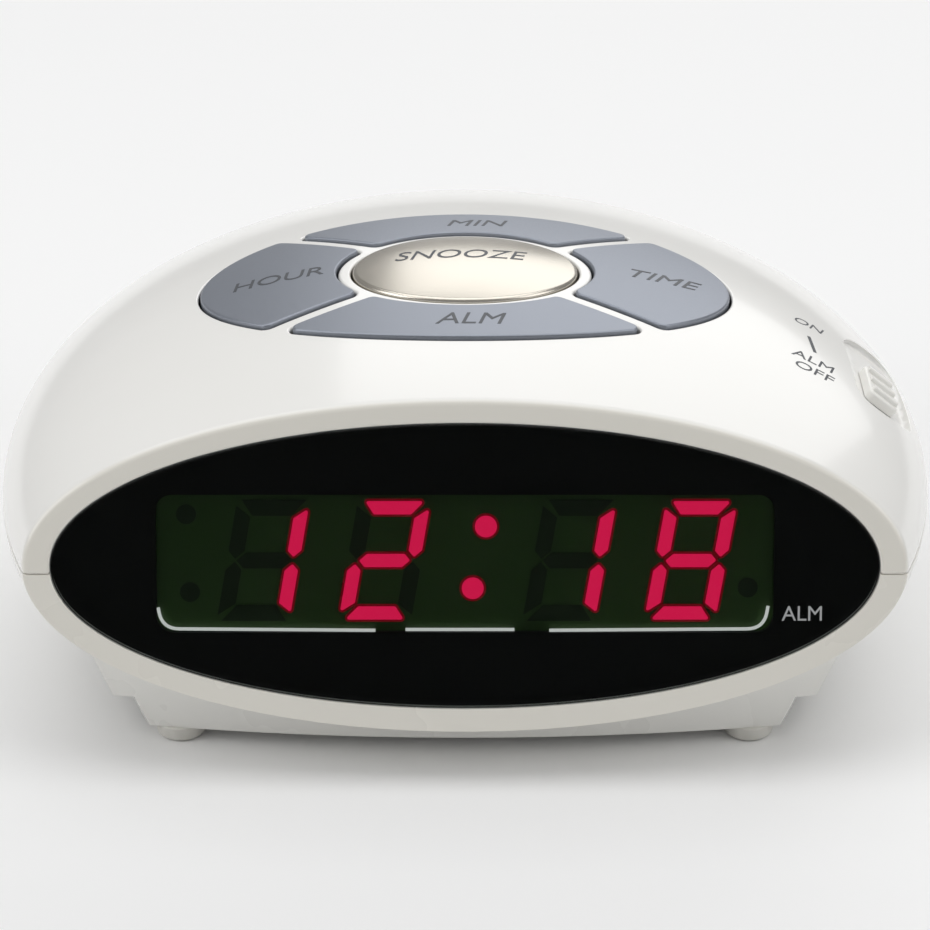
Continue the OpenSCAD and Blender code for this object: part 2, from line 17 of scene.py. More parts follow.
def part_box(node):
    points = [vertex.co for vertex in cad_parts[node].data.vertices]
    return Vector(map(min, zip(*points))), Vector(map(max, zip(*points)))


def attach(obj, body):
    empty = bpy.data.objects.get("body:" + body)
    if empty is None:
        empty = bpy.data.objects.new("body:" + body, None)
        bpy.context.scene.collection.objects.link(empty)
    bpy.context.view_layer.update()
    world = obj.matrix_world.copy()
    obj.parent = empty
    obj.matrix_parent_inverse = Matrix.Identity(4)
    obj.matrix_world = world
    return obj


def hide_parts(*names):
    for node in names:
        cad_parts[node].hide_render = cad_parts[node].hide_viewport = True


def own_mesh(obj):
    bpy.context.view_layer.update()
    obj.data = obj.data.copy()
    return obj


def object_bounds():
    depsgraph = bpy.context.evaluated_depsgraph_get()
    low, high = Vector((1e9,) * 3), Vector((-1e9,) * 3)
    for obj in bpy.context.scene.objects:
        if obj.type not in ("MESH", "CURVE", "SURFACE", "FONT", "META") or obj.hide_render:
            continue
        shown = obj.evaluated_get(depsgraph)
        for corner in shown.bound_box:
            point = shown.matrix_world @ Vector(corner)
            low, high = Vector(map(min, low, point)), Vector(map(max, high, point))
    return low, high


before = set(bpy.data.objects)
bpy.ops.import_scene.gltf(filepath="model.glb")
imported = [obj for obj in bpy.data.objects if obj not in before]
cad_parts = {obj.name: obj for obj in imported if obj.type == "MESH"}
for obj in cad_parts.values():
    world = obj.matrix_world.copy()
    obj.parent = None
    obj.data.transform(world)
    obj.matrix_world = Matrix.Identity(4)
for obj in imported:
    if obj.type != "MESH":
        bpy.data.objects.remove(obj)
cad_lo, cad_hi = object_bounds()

# %% [markdown]
# ## The egg's own frame
# The housing is one ellipsoid, so every piece on it is easiest to describe from the egg's centre, in
# millimetres. Three small frames are enough: the egg, the plane of its face and the plane of its slide
# switch. Each is a matrix that turns its own millimetres into the scene's metres.

# %% Sizes and frames
MM = 0.001
EGG_RY = 79.0
REAR_SET = 75.0
FACE_SET = 34.0
FACE_LEAN = math.radians(19)
WALL = 2.0

shell_lo, shell_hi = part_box("upper_housing")
EGG_RX = shell_hi.x / MM
EGG_RZ = (shell_hi.z - shell_lo.z) / MM
EGG_AT = Vector((0, shell_hi.y - REAR_SET * MM, shell_lo.z))
EGG_HALF = np.array([EGG_RX, EGG_RY, EGG_RZ])

EGG = Matrix.Translation(EGG_AT) @ Matrix.Scale(MM, 4)
FACE = EGG @ Matrix.Translation((0, -FACE_SET, 0)) @ Matrix.Rotation(math.pi / 2 - FACE_LEAN, 4, "X")
SLIDER_AT = (57.2, 4.0, 9.35)
SLIDER_TILT = math.radians(39)
SLIDER = EGG @ Matrix.Translation(SLIDER_AT) @ Matrix.Rotation(SLIDER_TILT, 4, "Y")
print(f"egg half sizes {EGG_RX:.2f} x {EGG_RY:.2f} x {EGG_RZ:.2f} mm")


def moved(points, place):
    """Points in one frame's units, carried by a matrix."""
    turn = np.array(place)
    return points @ turn[:3, :3].T + turn[:3, 3]


def into(place, other):
    """The matrix that takes one frame's millimetres to another's."""
    return other.inverted() @ place


def points_of(mesh):
    """A mesh's points as rows of an array."""
    return np.array([v.co for v in mesh.vertices])


def dome(x, y, grow=0.0):
    """Height of the egg's surface above its widest line."""
    inside = 1 - (x / (EGG_RX + grow)) ** 2 - (y / (EGG_RY + grow)) ** 2
    return (EGG_RZ + grow) * np.sqrt(np.clip(inside, 0, None))


# %% [markdown]
# ## Drawing outlines
# Moulded parts have no sharp edges: a toolmaker rounds every corner a little, and light catches on that
# rounding. So each outline here is drawn as a few lines and arcs, its corners are rounded, and later its
# rim is rounded too.

# %% Outline helpers
def oval(rx, ry, centre=(0, 0), step=0.8):
    """A closed elliptical outline, anticlockwise."""
    count = max(24, int(math.pi * (rx + ry) / step))
    turn = np.linspace(0, 2 * math.pi, count, endpoint=False)
    return np.stack([centre[0] + rx * np.cos(turn), centre[1] + ry * np.sin(turn)], 1)


def along(line, start_trim, end_trim, step):
    """Even points along a polyline, leaving a little off each end."""
    line = np.asarray(line, float)
    run = np.concatenate([[0], np.cumsum(np.linalg.norm(np.diff(line, axis=0), axis=1))])
    count = max(2, int((run[-1] - start_trim - end_trim) / step) + 1)
    stops = np.linspace(start_trim, run[-1] - end_trim, count)
    return np.stack([np.interp(stops, run, line[:, axis]) for axis in range(2)], 1)


def corner_arc(before, after, radius):
    """How far from a corner an arc of that radius starts, and how hard the corner pulls it."""
    ways = [np.subtract(before[-2], before[-1]), np.subtract(after[1], after[0])]
    ways = [way / np.linalg.norm(way) for way in ways]
    half = math.acos(np.clip(ways[0] @ ways[1], -1, 1)) / 2
    return radius / math.tan(half), math.sin(half)


def round_outline(lines, radius, step=0.8, arc_points=7):
    """Joins lines end to end into a closed outline, with each corner rounded."""
    arcs = [corner_arc(lines[index - 1], lines[index], radius) for index in range(len(lines))]
    arcs.append(arcs[0])
    bodies = [along(line, arcs[index][0], arcs[index + 1][0], step) for index, line in enumerate(lines)]
    out = []
    share = np.linspace(0, 1, arc_points + 2)[1:-1, None]
    for index, body in enumerate(bodies):
        start, corner, end = body[-1], np.asarray(lines[index][-1], float), bodies[(index + 1) % len(bodies)][0]
        out.append(body)
        pull = 2 * share * (1 - share) * arcs[index + 1][1]
        out.append(((1 - share) ** 2 * start + pull * corner + share ** 2 * end)
                   / ((1 - share) ** 2 + pull + share ** 2))
    return np.vstack(out)


CORNERS = ((-1, -1), (1, -1), (1, 1), (-1, 1))


def round_box(width, height, radius, centre=(0, 0), step=1.5):
    """A rectangle with rounded corners, anticlockwise."""
    half = np.array([width, height]) / 2
    corners = [np.array(sign) * half + centre for sign in CORNERS]
    lines = [(corners[index], corners[(index + 1) % 4]) for index in range(4)]
    return round_outline(lines, radius, step)


def inset(loop, depth):
    """An anticlockwise outline drawn in by depth, or out where depth is negative."""
    ahead = np.roll(loop, -1, axis=0) - loop
    ahead /= np.linalg.norm(ahead, axis=1)[:, None]
    behind = np.roll(ahead, 1, axis=0)
    sides = [np.stack([-way[:, 1], way[:, 0]], 1) for way in (ahead, behind)]
    middle = sides[0] + sides[1]
    middle /= np.linalg.norm(middle, axis=1)[:, None]
    stretch = 1 / np.clip((middle * sides[0]).sum(1), 0.5, 1)
    return loop + middle * (stretch * depth)[:, None]


# %% [markdown]
# ## Filling an outline
# A flat or domed top needs points inside its outline, not only along it, or the shading turns blotchy.
# A constrained Delaunay triangulation keeps the outline's own points, adds an even grid and leaves out
# the holes, which a fan of triangles or a grid fill can't do.

# %% Fill and solid helpers
def inside_loops(points, loops):
    """True where a point lies inside an odd number of the loops."""
    inside = np.zeros(len(points), bool)
    for loop in loops:
        nxt = np.roll(loop, -1, axis=0)
        for start, end in zip(loop, nxt):
            if start[1] == end[1]:
                continue
            spans = (start[1] > points[:, 1]) != (end[1] > points[:, 1])
            cross = start[0] + (points[:, 1] - start[1]) * (end[0] - start[0]) / (end[1] - start[1])
            inside ^= spans & (points[:, 0] < cross)
    return inside


def clear_of(points, loops, gap):
    """True where a point is further than gap from every outline point."""
    clear = np.ones(len(points), bool)
    for spot in np.vstack(loops):
        clear &= ((points - spot) ** 2).sum(1) > gap * gap
    return clear


def fill(loops, step):
    """All points of the filled region, outline points first, and its triangles."""
    low, high = loops[0].min(0), loops[0].max(0)
    rows = np.arange(low[1], high[1], step * math.sqrt(3) / 2)
    grid = np.vstack([
        np.stack([np.arange(low[0] + step / 2 * (index % 2), high[0], step),
                  np.full(len(np.arange(low[0] + step / 2 * (index % 2), high[0], step)), row)], 1)
        for index, row in enumerate(rows)])
    grid = grid[inside_loops(grid, loops)]
    grid = grid[clear_of(grid, loops, step * 0.6)]
    points = np.vstack([*loops, grid])
    edges, first = [], 0
    for loop in loops:
        edges += [(first + index, first + (index + 1) % len(loop)) for index in range(len(loop))]
        first += len(loop)
    made = delaunay_2d_cdt([Vector(point) for point in points], edges, [], 0, 1e-7)
    if any(not sources for sources in made[3]):
        raise ValueError("two outlines cross each other")
    source = [sources[0] for sources in made[3]]
    triangles = np.array([[source[corner] for corner in face] for face in made[2]])
    kept = inside_loops(points[triangles].mean(1), loops)
    return points, triangles[kept]


def ring_faces(first, second, count):
    """Quads between two rows of count points that start at those indices."""
    return [(first + i, first + (i + 1) % count, second + (i + 1) % count, second + i) for i in range(count)]


def ring_solid(rows):
    """The quads between closed rows of equal length."""
    count = len(rows[0])
    starts = range(0, (len(rows) - 1) * count, count)
    return np.vstack(rows), [face for start in starts for face in ring_faces(start, start + count, count)]


def joined(*solids):
    """Several solids as one list of points and one of faces."""
    points, faces, first = [], [], 0
    for solid_points, solid_faces in solids:
        points.append(solid_points)
        faces += [tuple(int(corner) + first for corner in face) for face in solid_faces]
        first += len(solid_points)
    return np.vstack(points), faces


QUARTER = math.pi / 2


def rolled(outline, surface, radius, start, end, turns, inward=1, up=-1):
    """Rows that roll round a rim beside a height surface, each a loop and its heights."""
    rows = []
    for angle in np.linspace(start, end, turns + 1):
        loop = inset(outline, inward * radius * (1 - math.cos(angle)))
        rows.append((loop, surface(*loop.T) + up * radius * (1 - math.sin(angle))))
    return rows


def rounded_solid(outline, top, bottom, edge, low_edge=0.0, step=1.5, turns=5):
    """A closed solid between two height surfaces, whose upper and lower rims are rounded."""
    rows = [(outline, bottom(*outline.T))]
    if low_edge:
        rows = rolled(outline, bottom, low_edge, QUARTER, 0, turns, up=1)
    rows += rolled(outline, top, edge, 0, QUARTER, turns)
    caps = []
    for (loop, _), height in ((rows[0], bottom), (rows[-1], top)):
        flat, triangles = fill([loop], step)
        caps.append((np.column_stack([flat, height(*flat.T)]), triangles))
    return joined(ring_solid([np.column_stack(row) for row in rows]), *caps)


def level(height):
    """A flat height surface."""
    return lambda x, y: np.full(len(np.atleast_1d(x)), float(height))


def peg(x, y, radius, low, high, edge=0.3, turns=4):
    """An upright round peg with a rounded upper rim."""
    return rounded_solid(oval(radius, radius, (x, y), 0.5), level(high), level(low), edge,
                         step=radius, turns=turns)


# %% [markdown]
# ## Turning points into pieces
# Each solid becomes one mesh, is welded, gets its faces turned outwards and rides on its CAD body. The
# weighted-normal modifier lets a wide flat face keep its own direction beside a narrow rounded rim, so
# the rim reads as a crisp soft edge.

# %% Piece helpers
def solid_mesh(name, solid, place):
    """A welded mesh with outward faces, in the scene's metres."""
    points, faces = solid
    mesh = bpy.data.meshes.new(name)
    mesh.from_pydata(moved(points, place).tolist(), [], [tuple(int(c) for c in face) for face in faces])
    welded = bmesh.new()
    welded.from_mesh(mesh)
    bmesh.ops.remove_doubles(welded, verts=welded.verts, dist=1e-6)
    bmesh.ops.recalc_face_normals(welded, faces=welded.faces)
    welded.to_mesh(mesh)
    welded.free()
    return mesh


def link_new(name, data):
    """A new object that is in the scene."""
    made = bpy.data.objects.new(name, data)
    bpy.context.scene.collection.objects.link(made)
    return made


def add_piece(name, mesh, finish, body, slot=None, nodes=(), sharp=40, weigh=True):
    """Puts a mesh in the scene as a finished piece that rides on a body."""
    mesh.materials.clear()
    mesh.materials.append(finish)
    if weigh:
        mesh.shade_smooth()
        mesh.set_sharp_from_angle(angle=math.radians(sharp))
    made = link_new(name, mesh)
    if weigh:
        made.modifiers.new("even_shading", "WEIGHTED_NORMAL").keep_sharp = True
    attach(made, body)
    if nodes:
        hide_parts(*nodes)
    print(f"{name}: {len(mesh.polygons)} faces on {body}")
    return made


def add_solid(name, solid, place, *about, **more):
    """Makes a solid's mesh and adds it as a piece."""
    return add_piece(name, solid_mesh(name, solid, place), *about, **more)


def settled(holder):
    """What a text or modified object evaluates to, as a plain mesh. The object itself is removed."""
    mesh = bpy.data.meshes.new_from_object(holder.evaluated_get(bpy.context.evaluated_depsgraph_get()))
    bpy.data.objects.remove(holder)
    return mesh


def loose_parts(node):
    """The separate solids of a CAD node, each as an array of points in metres."""
    points = points_of(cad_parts[node].data)
    spots, where = np.unique(np.round(points, 7), axis=0, return_inverse=True)
    where = where.ravel()
    owner = list(range(len(spots)))

    def root(index):
        while owner[index] != index:
            owner[index] = owner[owner[index]]
            index = owner[index]
        return index

    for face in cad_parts[node].data.polygons:
        corners = [where[v] for v in face.vertices]
        for corner in corners[1:]:
            owner[root(corner)] = root(corners[0])
    groups = {}
    for index in range(len(spots)):
        groups.setdefault(root(index), []).append(index)
    return [spots[members] for members in groups.values()]


# %% [markdown]
# ## Finishes
# Every finish starts from what the real one is. A small set of shared steps gives each its detail: the
# tone wanders a little, the roughness varies where hands and moulds have been, and a fine bump gives the
# grain. Pattern sizes are real millimetres. A rounding node softens the CAD edges that have no modelled
# rim.

# %% Finish helpers
def linear(code):
    """An sRGB hex colour as linear red, green, blue and alpha."""
    channels = [int(code[index:index + 2], 16) / 255 for index in (1, 3, 5)]
    return tuple(c / 12.92 if c <= 0.04045 else ((c + 0.055) / 1.055) ** 2.4 for c in channels) + (1.0,)


def add_node(tree, kind, inputs=None, **settings):
    """Adds a node, sets its properties, and links or sets its inputs."""
    made = tree.nodes.new(kind)
    for name, value in settings.items():
        setattr(made, name, value)
    for key, value in (inputs or {}).items():
        if isinstance(value, bpy.types.NodeSocket):
            tree.links.new(value, made.inputs[key])
        else:
            made.inputs[key].default_value = value
    return made


def per_metre(size_mm):
    """The noise scale whose features are about that many millimetres wide."""
    return 1 / (size_mm * MM)


def finish(name, tones, roughness, tone_mm=8.0, grain_mm=0.4, grain_um=1.0, rim_mm=0.0, **shader):
    """A procedural finish: two tones, a roughness range, and a grain with its depth in micrometres."""
    material = bpy.data.materials.new(name)
    material.use_nodes = True
    tree = material.node_tree
    surface = tree.nodes["Principled BSDF"]
    place = add_node(tree, "ShaderNodeTexCoord").outputs["Object"]
    drift = add_node(tree, "ShaderNodeTexNoise", {"Vector": place, "Scale": per_metre(tone_mm), "Detail": 4.0})
    tone = add_node(tree, "ShaderNodeMix", {"Factor": drift.outputs["Fac"], 6: linear(tones[0]),
                                            7: linear(tones[1])}, data_type="RGBA")
    wear = add_node(tree, "ShaderNodeMapRange", {
        "Value": drift.outputs["Fac"], "From Min": 0.3, "From Max": 0.7,
        "To Min": roughness[0], "To Max": roughness[1]})
    grain = add_node(tree, "ShaderNodeTexNoise", {"Vector": place, "Scale": per_metre(grain_mm), "Detail": 2.0})
    relief = add_node(tree, "ShaderNodeBump", {"Height": grain.outputs["Fac"], "Distance": grain_um * 1e-6,
                                               "Strength": 1.0})
    if rim_mm:
        rim = add_node(tree, "ShaderNodeBevel", {"Radius": rim_mm * MM}, samples=6)
        tree.links.new(rim.outputs["Normal"], relief.inputs["Normal"])
    tree.links.new(tone.outputs[2], surface.inputs["Base Color"])
    tree.links.new(wear.outputs["Result"], surface.inputs["Roughness"])
    tree.links.new(relief.outputs["Normal"], surface.inputs["Normal"])
    for key, value in shader.items():
        surface.inputs[key.replace("_", " ")].default_value = value
    return material


def wear_finish(node, material):
    """Gives a carried-over CAD node its finish."""
    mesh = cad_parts[node].data
    mesh.materials.clear()
    mesh.materials.append(material)


# %% [markdown]
# ## The housing's white ABS
# The shells are injection-moulded ABS, polished in the mould, so they are glossy with a very slight
# waviness. The frame round the lens faces the room, and its creamier look is painted shade: the tone turns
# a darker ivory within a hair of the face plane, which the plane's own equation picks out.

# %% White ABS
def paint_face_shade(material, shade_tone, depth_mm=0.08):
    """Paints a darker ivory tone, as painted shade, where the surface lies in the plane of the face."""
    tree = material.node_tree
    surface = tree.nodes["Principled BSDF"]
    out = FACE.to_3x3() @ Vector((0, 0, 1))
    out.normalize()
    place = add_node(tree, "ShaderNodeTexCoord").outputs["Object"]
    height = add_node(tree, "ShaderNodeVectorMath", {0: place, 1: out}, operation="DOT_PRODUCT")
    plane = FACE.translation.dot(out)
    near = add_node(tree, "ShaderNodeMapRange", {
        "Value": height.outputs["Value"], "From Min": plane - depth_mm * 6 * MM, "From Max": plane - depth_mm * MM})
    before = surface.inputs["Base Color"].links[0].from_socket
    tone = add_node(tree, "ShaderNodeMix", {"Factor": near.outputs["Result"], 6: before, 7: linear(shade_tone)},
                    data_type="RGBA")
    tree.links.new(tone.outputs[2], surface.inputs["Base Color"])


# Painted shade: the darker ivory that the frame round the lens gets in place of its own lighting.
FACE_SHADE_IVORY = "#EFECE3"
# A clear coat over a broad waviness lets the soft lights smear a little.
glossy_white = finish("polished_white_ABS", ("#F1F0EC", "#F6F5F2"), (0.16, 0.22), tone_mm=30, grain_mm=5,
                      grain_um=3, IOR=1.53, Coat_Weight=0.25, Coat_Roughness=0.06)
# Painted shade on the frame round the lens of the dome.
paint_face_shade(glossy_white, FACE_SHADE_IVORY)
# The plinth is as moulded: a finer grain and no coat, so it looks duller than the dome.
base_white = finish("moulded_white_ABS", ("#EDECE7", "#F2F1ED"), (0.24, 0.32), tone_mm=25, grain_mm=1.5,
                    grain_um=2.5, IOR=1.53)
# Painted shade on the frame round the lens of the plinth.
paint_face_shade(base_white, FACE_SHADE_IVORY)
for node in ("lower_housing", "battery_cover"):
    wear_finish(node, base_white)

# %% [markdown]
# ## The ring of keys, as outlines
# The five openings on top share one drawing: an oval ring that two crossed spokes divide into four
# wedges, round an oval hole. A key is the same wedge, drawn in by its gap, so key and opening can't
# disagree.

# %% Key outlines
KEYS_Y = 13.4
KEYS_RX, KEYS_RY = 37.1, 24.1
SNOOZE_RX, SNOOZE_RY = 15.6, 12.4
RING_W, RING_D = 2.0, 1.35
SPOKE_W = 2.1
SPOKE_ANGLE = 34
KEY_GAP = 0.3
KEY_CORNER, OPENING_CORNER = 1.2, 1.4
SECTORS = {"time": (-SPOKE_ANGLE, SPOKE_ANGLE), "minute": (SPOKE_ANGLE, 180 - SPOKE_ANGLE),
           "hour": (180 - SPOKE_ANGLE, 180 + SPOKE_ANGLE), "alarm": (180 + SPOKE_ANGLE, 360 - SPOKE_ANGLE)}


def meet(angle, shift, rx, ry):
    """Where a spoke's edge, shifted to its left, crosses an oval."""
    way = np.array([math.cos(math.radians(angle)), math.sin(math.radians(angle))])
    left = np.array([-way[1], way[0]])
    start, size = left * shift, np.array([rx, ry])
    a, b, c = ((way / size) ** 2).sum(), (way * start / size ** 2).sum(), ((start / size) ** 2).sum() - 1
    return start + way * (-b + math.sqrt(b * b - a * c)) / a


def arc_between(start, end, rx, ry, forward):
    """Points of an oval from one of its points to another."""
    first, last = (math.atan2(p[1] / ry, p[0] / rx) for p in (start, end))
    if forward and last < first:
        last += 2 * math.pi
    if not forward and last > first:
        last -= 2 * math.pi
    turn = np.linspace(first, last, 60)
    return np.stack([rx * np.cos(turn), ry * np.sin(turn)], 1)


def wedge_outline(name, gap, corner):
    """The outline of a key's opening, or of the key where gap is positive."""
    low, high = SECTORS[name]
    outer = (KEYS_RX - gap, KEYS_RY - gap)
    inner = (SNOOZE_RX + RING_W + gap, SNOOZE_RY + RING_D + gap)
    shift = SPOKE_W / 2 + gap
    low_in, low_out = meet(low, shift, *inner), meet(low, shift, *outer)
    high_in, high_out = meet(high, -shift, *inner), meet(high, -shift, *outer)
    lines = [(low_in, low_out), arc_between(low_out, high_out, *outer, True), (high_out, high_in),
             arc_between(high_in, low_in, *inner, False)]
    return round_outline(lines, corner, step=0.7) + np.array([0, KEYS_Y])


print("key outline points:", {name: len(wedge_outline(name, KEY_GAP, KEY_CORNER)) for name in SECTORS})

# %% [markdown]
# ## The upper shell
# This is the piece that the eye meets first, so its surface is the egg's own formula and not a
# subdivided guess. Its points come from a flat map of the egg, like a map of the pole, where the openings
# are holes. From each rim a row of points rolls over a small radius and drops through the wall to an
# inner surface, which makes it one closed shell.

# %% Mapping the egg
def to_map(points, grow=0.0):
    """Points of the egg on a flat map centred on its top."""
    unit = points / (EGG_HALF + grow)
    angle = np.arccos(np.clip(unit[:, 2], -1, 1))
    around = np.arctan2(unit[:, 1], unit[:, 0])
    return np.stack([np.cos(around), np.sin(around)], 1) * angle[:, None] * (EGG_HALF[:2] + grow)


def from_map(flat, grow=0.0):
    """Points of the flat map back on the egg."""
    scaled = flat / (EGG_HALF[:2] + grow)
    angle, around = np.hypot(*scaled.T), np.arctan2(scaled[:, 1], scaled[:, 0])
    unit = np.stack([np.sin(angle) * np.cos(around), np.sin(angle) * np.sin(around), np.cos(angle)], 1)
    return unit * (EGG_HALF + grow)


def egg_skin(loops, grow, step):
    """The egg's surface inside the first loop and outside the others."""
    flat, triangles = fill([to_map(loop, grow) for loop in loops], step)
    points = from_map(flat, grow)
    rims = np.vstack(loops)
    points[:len(rims)] = rims
    return points, triangles


def section(depth, grow=0.0):
    """The oval that a plane behind the face cuts from the egg: its middle up the slope and half sizes."""
    rx, ry, rz = EGG_HALF + grow
    lean_sin, lean_cos = math.sin(FACE_LEAN), math.cos(FACE_LEAN)
    y0, z0 = -FACE_SET + depth * lean_cos, -depth * lean_sin
    a = (lean_sin / ry) ** 2 + (lean_cos / rz) ** 2
    b = y0 * lean_sin / ry ** 2 + z0 * lean_cos / rz ** 2
    c = (y0 / ry) ** 2 + (z0 / rz) ** 2 - 1
    half = math.sqrt(b * b - a * c) / a
    return -b / a, rx * math.sqrt(a) * half, half


LENS_V, LENS_RX, LENS_RY = 1.03, 53.4, 18.6
LENS_SEAT, SEAT_RIM, FRAME_T = 2.2, 1.5, 3.6
FACE_POINTS = 220
JOINT_Z = 0.12
JOINT_RIM = 0.35


def face_row(centre, rx, ry, depth, cut_z):
    """The part of an oval in a plane behind the face that lies above a height, from left to right."""
    cut_v = (cut_z + depth * math.sin(FACE_LEAN)) / math.cos(FACE_LEAN)
    start = math.asin((cut_v - centre) / ry)
    turn = np.linspace(math.pi - start, start, FACE_POINTS)
    local = np.stack([rx * np.cos(turn), centre + ry * np.sin(turn), np.full(FACE_POINTS, -depth)], 1)
    return moved(local, into(FACE, EGG))


def curve(start, corner, end, count):
    """Rows that turn smoothly from one row to another round a corner row."""
    shares = np.linspace(0, 1, count + 2)[1:-1]
    return [(1 - s) ** 2 * start + 2 * s * (1 - s) * corner + s * s * end for s in shares]


# %% The rim of the upper shell, row by row
def face_rows():
    """From the egg's skin over the frame round the lens to the inner skin."""
    rim, lip = 0.7, 0.4
    centre, rx, ry = section(0)
    open_rx, open_ry = LENS_RX + 0.05, LENS_RY + 0.05
    skin = face_row(*section(rim), rim, JOINT_RIM)
    corner = face_row(centre, rx, ry, 0, JOINT_Z)
    flat = face_row(centre, rx - rim, ry - rim, 0, JOINT_Z)
    flat_in = face_row(LENS_V, open_rx + lip, open_ry + lip, 0, JOINT_Z)
    lip_corner = face_row(LENS_V, open_rx, open_ry, 0, JOINT_Z)
    wall = face_row(LENS_V, open_rx, open_ry, lip, JOINT_Z)
    return [skin, *curve(skin, corner, flat, 4), flat, flat_in, *curve(flat_in, lip_corner, wall, 3), wall,
            face_row(LENS_V, open_rx, open_ry, LENS_SEAT, JOINT_Z),
            face_row(LENS_V, open_rx - SEAT_RIM, open_ry - SEAT_RIM, LENS_SEAT, JOINT_Z),
            face_row(LENS_V, open_rx - SEAT_RIM, open_ry - SEAT_RIM, FRAME_T, JOINT_Z),
            face_row(*section(FRAME_T, -WALL), FRAME_T, JOINT_Z)]


def rear_rows(count):
    """From the skin over the small rear flat, through the cord's hole to the inner skin."""
    rim, hole_r, points = 0.6, 4.05, 60

    def slice_at(y, grow, shrink, low):
        size = np.sqrt(1 - (y / (EGG_RY + grow)) ** 2)
        rx, rz = (EGG_RX + grow) * size - shrink, (EGG_RZ + grow) * size - shrink
        start = math.asin(low / rz)
        turn = np.linspace(start, math.pi - start, points)
        return np.stack([rx * np.cos(turn), np.full(points, y), rz * np.sin(turn)], 1)

    def hole_at(y):
        turn = np.linspace(0, math.pi, points)
        return np.stack([hole_r * np.cos(turn), np.full(points, y), hole_r * np.sin(turn) + JOINT_Z], 1)

    skin = slice_at(REAR_SET - rim, 0, 0, JOINT_RIM)
    flat = slice_at(REAR_SET, 0, rim, JOINT_Z)
    inner = slice_at(REAR_SET - WALL, -WALL, 0, JOINT_Z)
    rows = [skin, *curve(skin, slice_at(REAR_SET, 0, 0, JOINT_Z), flat, 4), flat, (flat + hole_at(REAR_SET)) / 2]
    walls = np.linspace(REAR_SET, REAR_SET - WALL, count - len(rows) - 2)
    rows += [hole_at(y) for y in walls]
    return rows + [(inner + hole_at(REAR_SET - WALL)) / 2, inner]


def side_rows(before, after):
    """Along the egg's widest line, over the groove where the shells meet, from one set of rows to the next."""
    groove = [(0.0, JOINT_RIM), (0.02, 0.27), (0.05, 0.2), (0.1, 0.15), (0.17, 0.125), (0.25, JOINT_Z)]
    flat = [(depth, JOINT_Z) for depth in np.linspace(0.4, WALL, len(before) - len(groove))]
    profile = groove + flat
    sizes = [np.array([EGG_RX, EGG_RY]) * math.sqrt(1 - (height / EGG_RZ) ** 2) - depth
             for depth, height in profile]

    def turn_to(point, size):
        return math.atan2(point[1] / size[1], point[0] / size[0])

    limits = []
    for row in (0, -1):
        start, end = turn_to(before[row][-1], sizes[row]), turn_to(after[row][0], sizes[row])
        limits.append((start, end if end > start else end + 2 * math.pi))
    rows = []
    for share, size, (_, height) in zip(np.linspace(0, 1, len(profile)), sizes, profile):
        start, end = np.array(limits[0]) * (1 - share) + np.array(limits[1]) * share
        turn = np.linspace(start, end, 150)[1:-1]
        rows.append(np.stack([size[0] * np.cos(turn), size[1] * np.sin(turn), np.full(len(turn), height)], 1))
    return rows


def opening_rows(outline, radius):
    """From the skin over a rounded rim and down the wall of an opening to the inner skin."""
    rows = rolled(outline, dome, radius, QUARTER, 0, 5, inward=-1)
    return [np.column_stack(row) for row in [*rows, (outline, dome(*outline.T, -WALL))]]


# %% The pocket of the slide switch
POCKET_W, POCKET_L, POCKET_R, POCKET_D = 10.0, 22.0, 4.0, 1.4
SLIDER_TO_EGG = into(SLIDER, EGG)


def height_over_slider(x, y):
    """Height of the egg's skin above the slide switch's plane."""
    base = moved(np.column_stack([x, y, np.zeros(len(x))]), SLIDER_TO_EGG)
    way = np.array(SLIDER_TO_EGG.to_3x3() @ Vector((0, 0, 1)))
    a = ((way / EGG_HALF) ** 2).sum()
    b = (base * way / EGG_HALF ** 2).sum(1)
    c = ((base / EGG_HALF) ** 2).sum(1) - 1
    return (-b + np.sqrt(b * b - a * c)) / a


def pocket_rows():
    """From the skin over a small rim to the pocket's floor, then the floor itself."""
    outline, radius = round_box(POCKET_W, POCKET_L, POCKET_R, step=0.8), 0.15
    rows = [moved(np.column_stack([loop, np.maximum(rise, 0.02 - POCKET_D)]), SLIDER_TO_EGG)
            for loop, rise in rolled(outline, height_over_slider, radius, QUARTER, 0, 4, inward=-1)]
    floor, triangles = fill([outline], 1.5)
    floor = moved(np.column_stack([floor, np.full(len(floor), -POCKET_D)]), SLIDER_TO_EGG)
    return rows + [floor[:len(outline)]], (floor, triangles)


# %% Put the upper shell together
front = face_rows()
rear = rear_rows(len(front))
right = side_rows(front, rear)
left = side_rows(rear, front)
border = [np.vstack(parts) for parts in zip(front, right, rear, left)]
openings = [opening_rows(wedge_outline(name, 0, OPENING_CORNER), 0.4) for name in SECTORS]
openings.append(opening_rows(oval(SNOOZE_RX + KEY_GAP, SNOOZE_RY + KEY_GAP, (0, KEYS_Y), 0.7), 0.35))
pocket, pocket_floor = pocket_rows()
outer_skin = egg_skin([border[0], *[rows[0] for rows in openings], pocket[0]], 0, 1.8)
inner_skin = egg_skin([border[-1], *[rows[-1] for rows in openings]], -WALL, 3.5)
shell = joined(outer_skin, inner_skin, ring_solid(border), ring_solid(pocket), pocket_floor,
               *[ring_solid(rows) for rows in openings])
shell_mesh = solid_mesh("upper_shell", shell, EGG)


ON_SURFACE_MM = 0.003


def true_normals(mesh, measure):
    """Area-weighted normals, replaced by a surface's own where a point lies on it."""
    points = moved(points_of(mesh), EGG.inverted())
    normals = np.zeros_like(points)
    for face in mesh.polygons:
        normals[list(face.vertices)] += np.array(face.normal) * face.area
    distance, own = measure(points)
    close = distance < ON_SURFACE_MM
    normals[close] = own[close]
    mesh.shade_smooth()
    mesh.normals_split_custom_set_from_vertices((normals / np.linalg.norm(normals, axis=1)[:, None]).tolist())
    return mesh


